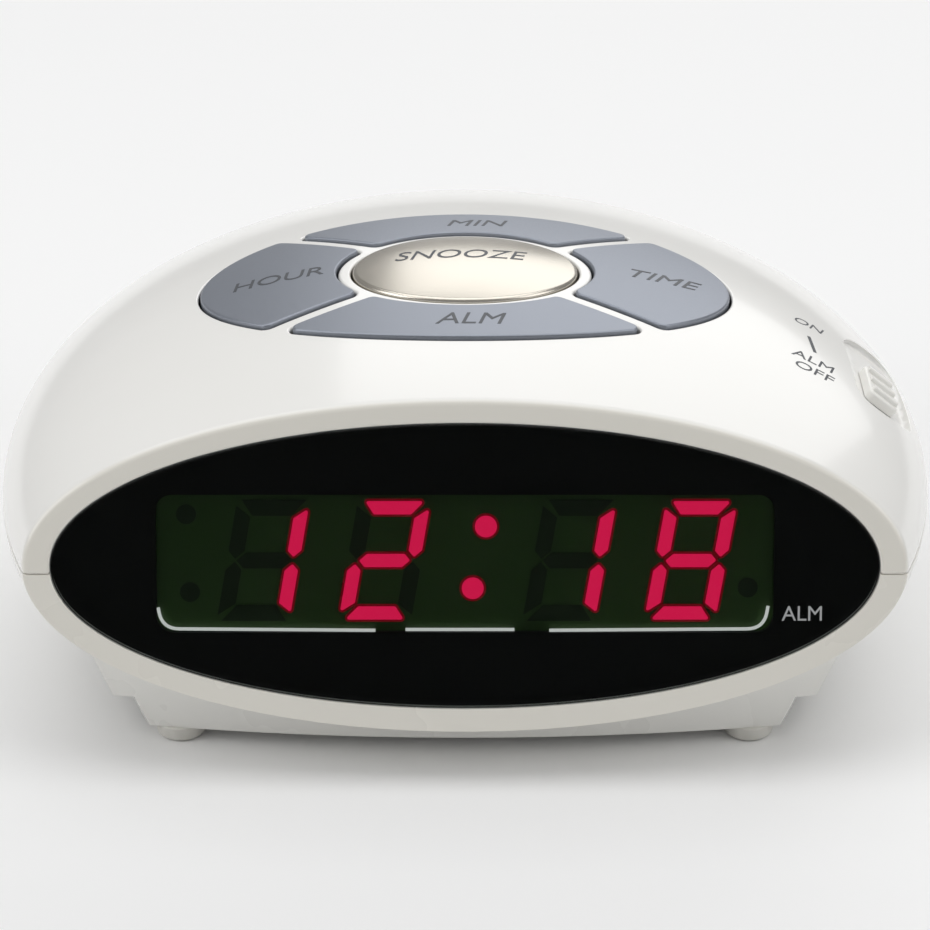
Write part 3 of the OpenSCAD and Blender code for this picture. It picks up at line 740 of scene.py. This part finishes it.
def from_egg(points):
    """How far points are from the egg's skin, and the egg's normals there."""
    own = points / EGG_HALF ** 2
    return np.abs((points / EGG_HALF) ** 2 @ np.ones(3) - 1) / (2 * np.linalg.norm(own, axis=1)), own


def from_height(surface):
    """The same measure for a height surface."""
    def measure(points):
        x, y, step = points[:, 0], points[:, 1], 0.01
        here = surface(x, y)
        own = np.column_stack([(here - surface(x + step, y)) / step, (here - surface(x, y + step)) / step,
                               np.ones(len(x))])
        return np.abs(points[:, 2] - here), own
    return measure


add_piece("upper_shell", true_normals(shell_mesh, from_egg), glossy_white, "housing", "housing_shell",
          ["upper_housing"], weigh=False)

# %% [markdown]
# ## The keys
# Each key is ABS sprayed with silver lacquer. It stands a little proud of the shell and its rim is
# rounded, which draws the thin light line round it. The lacquer holds fine aluminium flakes, so it
# glitters slightly instead of shining like a mirror.

# %% Silver lacquer and the four keys
KEY_PROUD, KEY_T, KEY_EDGE = 0.45, 2.45, 0.3
STEM_R = 2.0
BUTTON_TOP = (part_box("hour_switch_button")[1].z - EGG_AT.z) / MM
# Fine tone and grain make the flakes glitter under a half-metal sheen.
silver_lacquer = finish("silver_lacquer_on_ABS", ("#8F949E", "#9DA2AC"), (0.34, 0.46), tone_mm=0.35,
                        grain_mm=0.22, grain_um=6, Metallic=0.72)


def on_key(x, y):
    """The keys' own surface."""
    return dome(x, y, KEY_PROUD)


KEY_STEM = {"hour": (-25.5, KEYS_Y), "time": (25.5, KEYS_Y), "minute": (0.0, 31.2), "alarm": (0.0, -4.2)}

for name, stem in KEY_STEM.items():
    cap = rounded_solid(wedge_outline(name, KEY_GAP, KEY_CORNER), on_key,
                        lambda x, y: dome(x, y, KEY_PROUD - KEY_T), KEY_EDGE, step=1.2)
    post = peg(*stem, STEM_R, BUTTON_TOP, float(dome(*stem)) - 1.0)
    mesh = true_normals(solid_mesh(f"{name}_key_cap", joined(cap, post), EGG), from_height(on_key))
    add_piece(f"{name}_key_cap", mesh, silver_lacquer, name, "key_paint", [f"{name}_key"], weigh=False)

# %% [markdown]
# ## The snooze button
# The snooze button is satin-plated and warmer than the keys. It is a low oval crown, so it picks up long
# soft reflections. Under it sit a flange that stops it in its hole, and the stem that meets the switch.

# %% Snooze button
snooze_top = (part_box("snooze_button")[1].z - EGG_AT.z) / MM
# A warm metal with hardly any grain mirrors the lights as long soft shapes.
satin_plating = finish("satin_nickel_plating", ("#CFC9BD", "#DAD4C9"), (0.2, 0.27), tone_mm=14, grain_mm=0.5,
                       grain_um=0.8, Metallic=1.0)
SNOOZE_RIM, CROWN_EDGE = 0.35, 0.55
COLLAR_Z = 17.3
FLANGE_RX, FLANGE_RY, FLANGE_T = SNOOZE_RX + 1.1, SNOOZE_RY + 0.9, 1


def snooze_surface(x, y):
    """The crown: it follows the egg at its rim and rises towards its middle."""
    out = (x / SNOOZE_RX) ** 2 + ((y - KEYS_Y) / SNOOZE_RY) ** 2
    rise = snooze_top - float(dome(0, KEYS_Y)) - SNOOZE_RIM
    return dome(x, y) + SNOOZE_RIM + rise * np.clip(1 - out, 0, None)


snooze_cap = rounded_solid(oval(SNOOZE_RX, SNOOZE_RY, (0, KEYS_Y), 0.6), snooze_surface,
                           level(COLLAR_Z), CROWN_EDGE, step=1.0, turns=7)
snooze_flange = rounded_solid(oval(FLANGE_RX, FLANGE_RY, (0, KEYS_Y)), level(COLLAR_Z),
                              level(COLLAR_Z - FLANGE_T), 0.2, step=3)
snooze_stem = peg(0, KEYS_Y, STEM_R, BUTTON_TOP, COLLAR_Z - 0.5)
snooze_mesh = solid_mesh("snooze_cap", joined(snooze_cap, snooze_flange, snooze_stem), EGG)
add_piece("snooze_cap", true_normals(snooze_mesh, from_height(snooze_surface)), satin_plating, "snooze",
          "snooze_plating", ["snooze_button"], weigh=False)

# %% [markdown]
# ## The lens, its black print and the display
# The lens is a plate of smoked acrylic. Its back is printed black except for the window, and behind the
# window are a dark green filter and the light bars. The bars glow crimson with a darker edge, because
# each is a small light well whose walls are dimmer than its middle.

# %% Lens and display finishes
# Clear, slightly grey acrylic, whose gloss lies in front of the print.
smoked = finish("smoked_acrylic", ("#B4B9B6", "#B9BEBB"), (0.02, 0.035), tone_mm=40, grain_mm=20, grain_um=1,
                IOR=1.49, Transmission_Weight=1.0)
black_print = finish("black_screen_print", ("#020203", "#040405"), (0.4, 0.5), grain_mm=0.2, grain_um=2)
# A dark film that dims what is behind it, and unlit bars that show in it as ghosts.
green_filter = finish("green_display_filter", ("#466830", "#4E7237"), (0.35, 0.45), tone_mm=9, grain_mm=0.3,
                      grain_um=2)
dark_well = finish("unlit_light_well", ("#29401F", "#2F4724"), (0.5, 0.6), grain_mm=0.2, grain_um=2)
# The diffuser glows evenly, and the dimmer wall round it outlines each bar.
lit_red = finish("lit_red_diffuser", ("#B01030", "#C01838"), (0.4, 0.5), grain_mm=0.2, grain_um=1,
                 Emission_Color=linear("#FF1A5C"), Emission_Strength=1.15)
lit_edge = finish("light_well_wall", ("#50060F", "#5C0812"), (0.5, 0.6), grain_mm=0.2, grain_um=1,
                  Emission_Color=linear("#B0001E"), Emission_Strength=0.5)
# The white line is a white rim, and its emission is a painted glow of stray light from inside.
white_rim_painted_glow = finish("white_display_rim_painted_glow", ("#E6E8E6", "#F0F1EF"), (0.3, 0.4), grain_mm=0.3, grain_um=2,
                   Emission_Color=linear("#FFFFFF"), Emission_Strength=0.9)
grey_print = finish("light_grey_screen_print", ("#A9ABAC", "#B3B5B6"), (0.4, 0.5), grain_mm=0.1, grain_um=1)
for node, material in {"lens_mask": black_print, "display_frame": black_print, "led_display": green_filter,
                       "unlit_segments": dark_well}.items():
    wear_finish(node, material)

LENS_TOP, PRINT_TOP = -0.3, 0.03
lens = rounded_solid(oval(LENS_RX, LENS_RY, (0, LENS_V), 0.9), level(LENS_TOP),
                     level(PRINT_TOP - LENS_SEAT), 0.3, step=6)
add_solid("smoked_lens", lens, FACE, smoked, "housing", "lens", ["front_lens"])

# The print runs on to the lens's edge, as a closed ring that is as thick as a film.
BORDER_OUT, BORDER_IN, FILM_LOW, FILM_HIGH = 0.1, 1.7, 0.005, 0.025
circle = oval(1, 1, step=0.035)
rows = [np.column_stack([circle * (LENS_RX - drawn_in, LENS_RY - drawn_in) + (0, LENS_V),
                         np.full(len(circle), height - LENS_SEAT)])
        for drawn_in, height in ((BORDER_OUT, FILM_HIGH), (BORDER_OUT, FILM_LOW), (BORDER_IN, FILM_LOW),
                                 (BORDER_IN, FILM_HIGH), (BORDER_OUT, FILM_HIGH))]
add_solid("lens_border", ring_solid(rows), FACE, black_print, "housing", "lens_print")


# %% The lit bars
def hull(points):
    """The convex outline of flat points, anticlockwise."""
    ordered = sorted({(round(float(x), 4), round(float(y), 4)) for x, y in points})

    def half(items):
        chain = []
        for point in items:
            while len(chain) > 1 and ((chain[-1][0] - chain[-2][0]) * (point[1] - chain[-2][1])
                                      - (chain[-1][1] - chain[-2][1]) * (point[0] - chain[-2][0])) <= 1e-4:
                chain.pop()
            chain.append(point)
        return chain[:-1]

    return np.array(half(ordered) + half(ordered[::-1]))


bars, wells = [], []
for part in loose_parts("lit_segments"):
    local = moved(part, FACE.inverted())
    outline = hull(local[:, :2])
    if len(outline) < 12:
        lines = [(outline[i], outline[(i + 1) % len(outline)]) for i in range(len(outline))]
        outline = round_outline(lines, 0.4, step=0.6, arc_points=6)
    low, high = local[:, 2].min(), local[:, 2].max()
    bars.append(rounded_solid(inset(outline, 0.18), level(high + 0.1), level(low), 0.1, step=1.2, turns=3))
    wells.append(rounded_solid(inset(outline, -0.12), level(high), level(low), 0.05, step=1.2, turns=2))
add_solid("lit_bars", joined(*bars), FACE, lit_red, "housing", "lit_segment", ["lit_segments"])
add_solid("light_wells", joined(*wells), FACE, lit_edge, "housing", "lit_segment")


# %% The white line along the window's lower edge
def ribbon(path, width, low, high):
    """A thin strip along a path, in its plane."""
    path = np.asarray(path, float)
    way = np.gradient(path, axis=0)
    way /= np.linalg.norm(way, axis=1)[:, None]
    side = np.stack([-way[:, 1], way[:, 0]], 1) * width / 2
    outline = np.vstack([path - side, (path + side)[::-1]])
    return rounded_solid(outline, level(high), level(low), 0.04, step=2, turns=2)


def bent_path(start, corner, end, radius):
    """A straight run, a round corner and a second straight run."""
    start, corner, end = (np.array(p, float) for p in (start, corner, end))
    before = corner + (start - corner) / np.linalg.norm(start - corner) * radius
    after = corner + (end - corner) / np.linalg.norm(end - corner) * radius
    share = np.linspace(0, 1, 9)[:, None]
    bend = (1 - share) ** 2 * before + 2 * share * (1 - share) * corner + share ** 2 * after
    return np.vstack([start, bend, np.linspace(after, end, 12)[1:]])


LINE_W, LINE_TOP, LINE_T, BEND_R = 0.42, -2.55, 0.1, 2.2
strokes = [bent_path((-39.7, -4.6), (-39.2, -7.4), (-11.6, -7.6), BEND_R),
           np.linspace((-7.7, -7.5), (6.4, -7.5), 12),
           bent_path((39.2, -4.4), (38.7, -7.4), (10.9, -7.6), BEND_R)[::-1]]
line = joined(*[ribbon(path, LINE_W, LINE_TOP - LINE_T, LINE_TOP) for path in strokes])
# The line's glow is painted light on a white rim.
add_solid("window_line", line, FACE, white_rim_painted_glow, "housing", "display_rim")

# %% [markdown]
# ## Printed legends
# The key names are pad-printed ink, a few hundredths of a millimetre thick. A text object gives plain
# letters, which are turned into a mesh and then laid on the domed surface point by point.

# %% Legends
# Pad-printed ink is dark grey and matt.
grey_ink = finish("dark_grey_pad_print", ("#43464B", "#4C4F54"), (0.4, 0.5), grain_mm=0.1, grain_um=1)
INK_MM = 0.03


def letters(text, height, slant=0.0):
    """Flat letters as points and faces, centred, with a little thickness."""
    words = bpy.data.curves.new("words", "FONT")
    words.body, words.size, words.shear = text, 1.0, slant
    words.align_x, words.align_y = "CENTER", "CENTER"
    words.extrude, words.resolution_u = 0.01, 4
    mesh = settled(link_new("words", words))
    points = points_of(mesh)
    faces = [tuple(face.vertices) for face in mesh.polygons]
    size = points[:, 1].max() - points[:, 1].min()
    points[:, :2] = (points[:, :2] - (points[:, :2].max(0) + points[:, :2].min(0)) / 2) * height / size
    return points, faces


def laid(text, centre, height, turn, surface, width=1.0, slant=0.0):
    """Letters laid on a height surface, turned about their middle."""
    points, faces = letters(text, height, slant)
    angle = math.radians(turn)
    across, up = points[:, 0] * width, points[:, 1]
    x = centre[0] + across * math.cos(angle) - up * math.sin(angle)
    y = centre[1] + across * math.sin(angle) + up * math.cos(angle)
    lift = np.where(points[:, 2] > 0, INK_MM, -INK_MM)
    return np.column_stack([x, y, surface(x, y) + lift]), faces


# Word, body, middle, height in mm, turn in degrees, width against the font's own, and surface.
LEGENDS = [("HOUR", "hour", (-26.1, 13.3), 3.1, 9, 1.02, on_key),
           ("TIME", "time", (27.9, 13.7), 3.1, -9, 1.04, on_key),
           ("MIN", "minute", (1.8, 32.2), 2.9, 0, 1.12, on_key),
           ("ALM", "alarm", (0.8, -5.0), 3.3, 0, 0.97, on_key),
           ("SNOOZE", "snooze", (-0.5, 16.0), 3.5, 0, 0.9, snooze_surface)]
for text, body, centre, height, turn, width, surface in LEGENDS:
    solid = laid(text, centre, height, turn, surface, width=width, slant=0.25)
    add_solid(f"{body}_legend", solid, EGG, grey_ink, body, sharp=30)

shoulder = [laid("ON", (47.9, 11.7), 2.1, -18, dome, width=0.9),
            laid("|", (47.6, 4.4), 5.2, 4, dome, width=1.1),
            laid("ALM", (47.2, -1.2), 2.2, -16, dome, width=0.95),
            laid("OFF", (47.1, -4.6), 2.2, -16, dome)]
add_solid("switch_legend", joined(*shoulder), EGG, grey_ink, "housing", sharp=30)
lens_word = laid("ALM", (43.4, -5.05), 1.9, 0, level(LENS_TOP))
add_solid("lens_legend", lens_word, FACE, grey_print, "housing", "lens_print", sharp=30)

# %% [markdown]
# ## Repeated details with Geometry Nodes
# The grip ribs and the spring's turns repeat at an even pitch. A small node tree makes them, so their
# count and pitch stay plain inputs, and the result is realised into a plain mesh.

# %% Geometry Nodes helpers
SOCKETS = {int: "NodeSocketInt", float: "NodeSocketFloat", tuple: "NodeSocketVector"}


def new_tree(name, inputs):
    """An empty geometry tree with named inputs, whose kinds follow from their values."""
    tree = bpy.data.node_groups.new(name, "GeometryNodeTree")
    for label, value in inputs.items():
        made = tree.interface.new_socket(label, in_out="INPUT", socket_type=SOCKETS[type(value)])
        made.default_value = value
    tree.interface.new_socket("Geometry", in_out="OUTPUT", socket_type="NodeSocketGeometry")
    return tree, tree.nodes.new("NodeGroupInput"), tree.nodes.new("NodeGroupOutput")


def close_tree(tree, geometry, leave):
    """Realises the instances, adds the node that sets the material and ends the tree."""
    real = add_node(tree, "GeometryNodeRealizeInstances", {"Geometry": geometry})
    painted = add_node(tree, "GeometryNodeSetMaterial", {"Geometry": real.outputs[0]})
    tree.links.new(painted.outputs[0], leave.inputs[0])


def grow_mesh(tree, material, values):
    """Runs a geometry tree with these input values and returns a plain mesh."""
    painted = next(node for node in tree.nodes if node.bl_idname == "GeometryNodeSetMaterial")
    painted.inputs["Material"].default_value = material
    holder = link_new(tree.name, bpy.data.meshes.new(tree.name))
    modifier = holder.modifiers.new(tree.name, "NODES")
    modifier.node_group = tree
    for item in tree.interface.items_tree:
        if item.in_out == "INPUT" and item.name in values:
            modifier[item.identifier] = values[item.name]
    return settled(holder)


def bar_tree():
    """Rounded bars along X, repeated by a step."""
    tree, enter, leave = new_tree("rounded_bars", {"Count": 3, "Step": (0, 1, 0), "Start": (0, 0, 0),
                                                   "Length": 4.0, "Across": 1.0, "Tall": 1.0, "Corner": 0.2})
    inputs = enter.outputs
    spots = add_node(tree, "GeometryNodeMeshLine", {"Count": inputs["Count"], "Start Location": inputs["Start"],
                                                    "Offset": inputs["Step"]})
    ends = []
    for share in (-0.5, 0.5):
        half = add_node(tree, "ShaderNodeMath", {0: inputs["Length"], 1: share}, operation="MULTIPLY")
        ends.append(add_node(tree, "ShaderNodeCombineXYZ", {"X": half.outputs[0]}).outputs[0])
    spine = add_node(tree, "GeometryNodeCurvePrimitiveLine", {"Start": ends[0], "End": ends[1]})
    shape = add_node(tree, "GeometryNodeCurvePrimitiveQuadrilateral", {"Width": inputs["Across"],
                                                                       "Height": inputs["Tall"]})
    soft = add_node(tree, "GeometryNodeFilletCurve", {"Curve": shape.outputs[0], "Radius": inputs["Corner"],
                                                      "Count": 4}, mode="POLY")
    bar = add_node(tree, "GeometryNodeCurveToMesh", {"Curve": spine.outputs[0], "Profile Curve": soft.outputs[0],
                                                     "Fill Caps": True})
    many = add_node(tree, "GeometryNodeInstanceOnPoints", {"Points": spots.outputs[0], "Instance": bar.outputs[0]})
    close_tree(tree, many.outputs[0], leave)
    return tree


def spring_tree():
    """A coil of round wire."""
    tree, enter, leave = new_tree("coil_spring", {"Turns": 5.0, "Radius": 5.0, "Height": 8.0, "Wire": 0.35})
    inputs = enter.outputs
    path = add_node(tree, "GeometryNodeCurveSpiral", {
        "Resolution": 48, "Rotations": inputs["Turns"], "Start Radius": inputs["Radius"],
        "End Radius": inputs["Radius"], "Height": inputs["Height"]})
    wire = add_node(tree, "GeometryNodeCurvePrimitiveCircle", {"Resolution": 10, "Radius": inputs["Wire"]})
    coil = add_node(tree, "GeometryNodeCurveToMesh", {"Curve": path.outputs[0], "Profile Curve": wire.outputs[0],
                                                      "Fill Caps": True})
    close_tree(tree, coil.outputs[0], leave)
    return tree


BARS, COIL = bar_tree(), spring_tree()


def grown_piece(name, tree, values, place, material, body, slot, nodes=()):
    """A Geometry Nodes result as a finished piece."""
    mesh = grow_mesh(tree, material, values)
    mesh.name = name
    mesh.transform(place)
    return add_piece(name, mesh, material, body, slot, nodes)


# %% [markdown]
# ## The slide switch's knob
# The alarm is switched by a small white slider in a shallow pocket on the right shoulder. Three ribs lie
# across its travel for the fingertip.

# %% Slider
# Finger parts are a touch duller than the polished shell.
slider_white = finish("satin_white_ABS", ("#F0EFEA", "#F6F5F1"), (0.28, 0.36), grain_mm=0.6, grain_um=2, IOR=1.53)
slider_box = moved(points_of(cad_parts["alarm_slider"].data), SLIDER.inverted())
knob_y = float(slider_box[:, 1].min() + slider_box[:, 1].max()) / 2
KNOB_BOX, KNOB_STEM = (5.0, 9.0, 1.0), (2.6, 4.2, 0.3)
RIB_PITCH, RIB_LONG, RIB_THICK = 3, 4.2, 0.95
knob = rounded_solid(round_box(*KNOB_BOX, (0, knob_y), 0.8), level(0.0), level(0.1 - POCKET_D), 0.3)
knob_stem = rounded_solid(round_box(*KNOB_STEM, (0, knob_y), 0.8), level(-1.0), level(-4.4), 0.1)
add_solid("slider_knob", joined(knob, knob_stem), SLIDER, slider_white, "slider", "slider", ["alarm_slider"])
ribs = {"Count": 3, "Start": (0, knob_y - RIB_PITCH, 0.1), "Step": (0, RIB_PITCH, 0), "Length": RIB_LONG,
        "Across": RIB_THICK, "Tall": RIB_THICK, "Corner": 0.3}
grown_piece("slider_ribs", BARS, ribs, SLIDER, slider_white, "slider", "slider")

# %% [markdown]
# ## Feet, spring and other small hardware
# The feet are soft white rubber discs with a rolled lower edge. The return spring under the snooze button
# is real wire here.

# %% Feet and spring
# Soft rubber is matt, with a slightly dusty tone.
foot_rubber = finish("white_rubber", ("#D9D7D0", "#E2E0DA"), (0.55, 0.68), tone_mm=2, grain_mm=0.3, grain_um=5)
FOOT_EDGE, PLUG_T = 0.7, 1.0
for corner in ("front_left", "front_right", "rear_left", "rear_right"):
    low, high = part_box(f"{corner}_foot")
    middle, radius = (low + high) / 2, (high.x - low.x) / 2 / MM
    tall = (high.z - low.z) / MM
    spot = Matrix.Translation((middle.x, middle.y, low.z)) @ Matrix.Scale(MM, 4)
    pad = rounded_solid(oval(radius, radius, step=0.5), level(tall - PLUG_T), level(0), 0.2,
                        low_edge=FOOT_EDGE, step=1.2)
    plug = peg(0, 0, radius - FOOT_EDGE, tall - PLUG_T - 0.1, tall)
    add_solid(f"{corner}_rubber_foot", joined(pad, plug), spot, foot_rubber, "housing", "foot_rubber",
              [f"{corner}_foot"])

# Hard-drawn wire is bright, with fine drawing marks.
spring_wire = finish("tempered_spring_wire", ("#8E9094", "#A2A4A8"), (0.25, 0.35), grain_mm=0.2,
                     grain_um=2, Metallic=1.0)
spring_lo, spring_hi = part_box("snooze_spring")
WIRE_R = 0.35
spring_tall = (spring_hi.z - spring_lo.z) / MM
spring_at = Matrix.Translation(((spring_lo.x + spring_hi.x) / 2, (spring_lo.y + spring_hi.y) / 2,
                                spring_lo.z + WIRE_R * MM)) @ Matrix.Scale(MM, 4)
coil = {"Turns": 5.0, "Radius": (spring_hi.x - spring_lo.x) / 2 / MM - WIRE_R,
        "Height": spring_tall - 2 * WIRE_R, "Wire": WIRE_R}
spring = grown_piece("snooze_coil", COIL, coil, spring_at, spring_wire, "housing", "spring_wire", ["snooze_spring"])
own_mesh(spring)

# %% [markdown]
# ## Inside the clock
# These pieces show when the housing is opened. Each keeps its CAD shape and gets the finish of the real
# thing: brown phenolic board, green glass-epoxy, grey cable, painted steel and yellow winding tape.

# %% Inner finishes
# Finish name, two tones, roughness, pattern sizes in mm, grain depth in micrometres, rim in mm, metal.
INNER = {
    "display_board": ("green_glass_epoxy", ("#1E5A33", "#256A3D"), (0.3, 0.4), 3, 0.8, 6, 0, 0),
    "key_board": ("brown_phenolic_paper", ("#A8743F", "#B9834A"), (0.45, 0.55), 2, 0.5, 4, 0, 0),
    "ribbon_cable": ("grey_ribbon_PVC", ("#A9ABAD", "#B6B8BA"), (0.4, 0.5), 3, 0.4, 3, 0, 0),
    "key_switches": ("black_switch_nylon", ("#161718", "#1F2021"), (0.4, 0.5), 2, 0.2, 4, 0, 0),
    "hour_switch_button": ("grey_acetal", ("#55585B", "#606366"), (0.3, 0.4), 2, 0.2, 2, 0, 0),
    "backup_battery": ("printed_steel_can", ("#1E2B30", "#29383E"), (0.25, 0.35), 12, 1, 2, 0.6, 0.4),
    "battery_snap": ("black_vinyl", ("#141415", "#1C1C1D"), (0.5, 0.6), 3, 0.4, 6, 0.4, 0),
    "capacitors": ("shrink_sleeve", ("#141D4A", "#1B2658"), (0.2, 0.3), 4, 1, 2, 0.4, 0),
    "transformer_core": ("silicon_steel_plates", ("#4E5054", "#6A6C70"), (0.4, 0.55), 1, 0.5, 12, 0, 0.9),
    "transformer_coil": ("yellow_winding_tape", ("#C79A2A", "#D9AE3B"), (0.3, 0.4), 5, 2, 12, 0.8, 0),
    "cord_grommet": ("black_PVC", ("#151516", "#1E1E1F"), (0.45, 0.6), 3, 0.3, 6, 0.3, 0),
    "housing_screws": ("zinc_plated_steel", ("#9C9EA0", "#B4B5B6"), (0.25, 0.4), 1, 0.2, 2, 0, 1)}
ALSO = {"key_board": ["main_board"], "ribbon_cable": ["key_cable"], "battery_snap": ["buzzer"],
        "key_switches": ["alarm_slide_switch", "clock_chip"], "housing_screws": ["board_screws"],
        "hour_switch_button": [f"{key}_switch_button" for key in ("snooze", "minute", "time", "alarm")]}
for node, (*look, metal) in INNER.items():
    material = finish(*look, Metallic=metal)
    for wearer in (node, *ALSO.get(node, ())):
        wear_finish(wearer, material)
print("inner finishes:", len(INNER))

# %% [markdown]
# ## Stage, light and camera
# The clock stands on a plain pale floor under broad soft lights. The camera looks down at it from the
# front at the height of someone sitting up in bed.

# %% Stage and light
FLOOR_HALF = 4.0
CARD_HALF, CARD_Y, CARD_TOP = 0.9, -0.75, 0.24


def sheet(name, corners, material):
    """A flat sheet of one face."""
    mesh = bpy.data.meshes.new(name)
    mesh.from_pydata(corners, [], [(0, 1, 2, 3)])
    mesh.materials.append(material)
    return link_new(name, mesh)


floor = sheet("floor", [(x * FLOOR_HALF, y * FLOOR_HALF, cad_lo.z) for x, y in CORNERS],
              finish("pale_backdrop", ("#F7F7F7", "#F9F9F9"), (0.85, 0.9), tone_mm=400, grain_mm=50, grain_um=1))

# A black card in front, below the line of sight, is what the lens mirrors, so it stays deep black.
card = sheet("black_card", [(x * CARD_HALF, CARD_Y, CARD_TOP if y > 0 else cad_lo.z) for x, y in CORNERS],
             finish("black_card", ("#060606", "#080808"), (0.8, 0.9), tone_mm=100, grain_mm=5))


def softbox(name, at, size, power, target=(0, 0, 0.02)):
    """A broad area light that faces a target."""
    lamp = bpy.data.lights.new(name, "AREA")
    lamp.shape, lamp.size, lamp.size_y, lamp.energy = "RECTANGLE", size[0], size[1], power
    holder = link_new(name, lamp)
    holder.location = at
    holder.rotation_euler = (Vector(target) - Vector(at)).to_track_quat("-Z", "Y").to_euler()


softbox("overhead", (0, 0.1, 0.9), (1.2, 0.9), 4.8)
softbox("left_side", (-0.8, -0.25, 0.55), (0.6, 0.6), 2.2)
softbox("right_side", (0.8, -0.25, 0.55), (0.6, 0.6), 1.7)
softbox("rear", (0.3, 1.1, 0.62), (1.0, 0.7), 3.0)

SKY_STRENGTH = 0.3
world = bpy.data.worlds.new("studio")
bpy.context.scene.world = world
world.use_nodes = True
sky = world.node_tree.nodes["Background"].inputs
sky["Color"].default_value, sky["Strength"].default_value = (1, 1, 1, 1), SKY_STRENGTH
bpy.context.scene.view_settings.view_transform = "Standard"

# %% Camera
EYE = (0, -388.48, 197.94)
LOOK_DOWN = 27.18
SENSOR_MM, FOCAL_MM = 36.0, 122.2
camera_data = bpy.data.cameras.new("camera")
camera_data.sensor_width, camera_data.lens = SENSOR_MM, FOCAL_MM
camera = link_new("camera", camera_data)
camera.location = EGG @ Vector(EYE)
camera.rotation_euler = (math.radians(90 - LOOK_DOWN), 0, 0)
bpy.context.scene.camera = camera
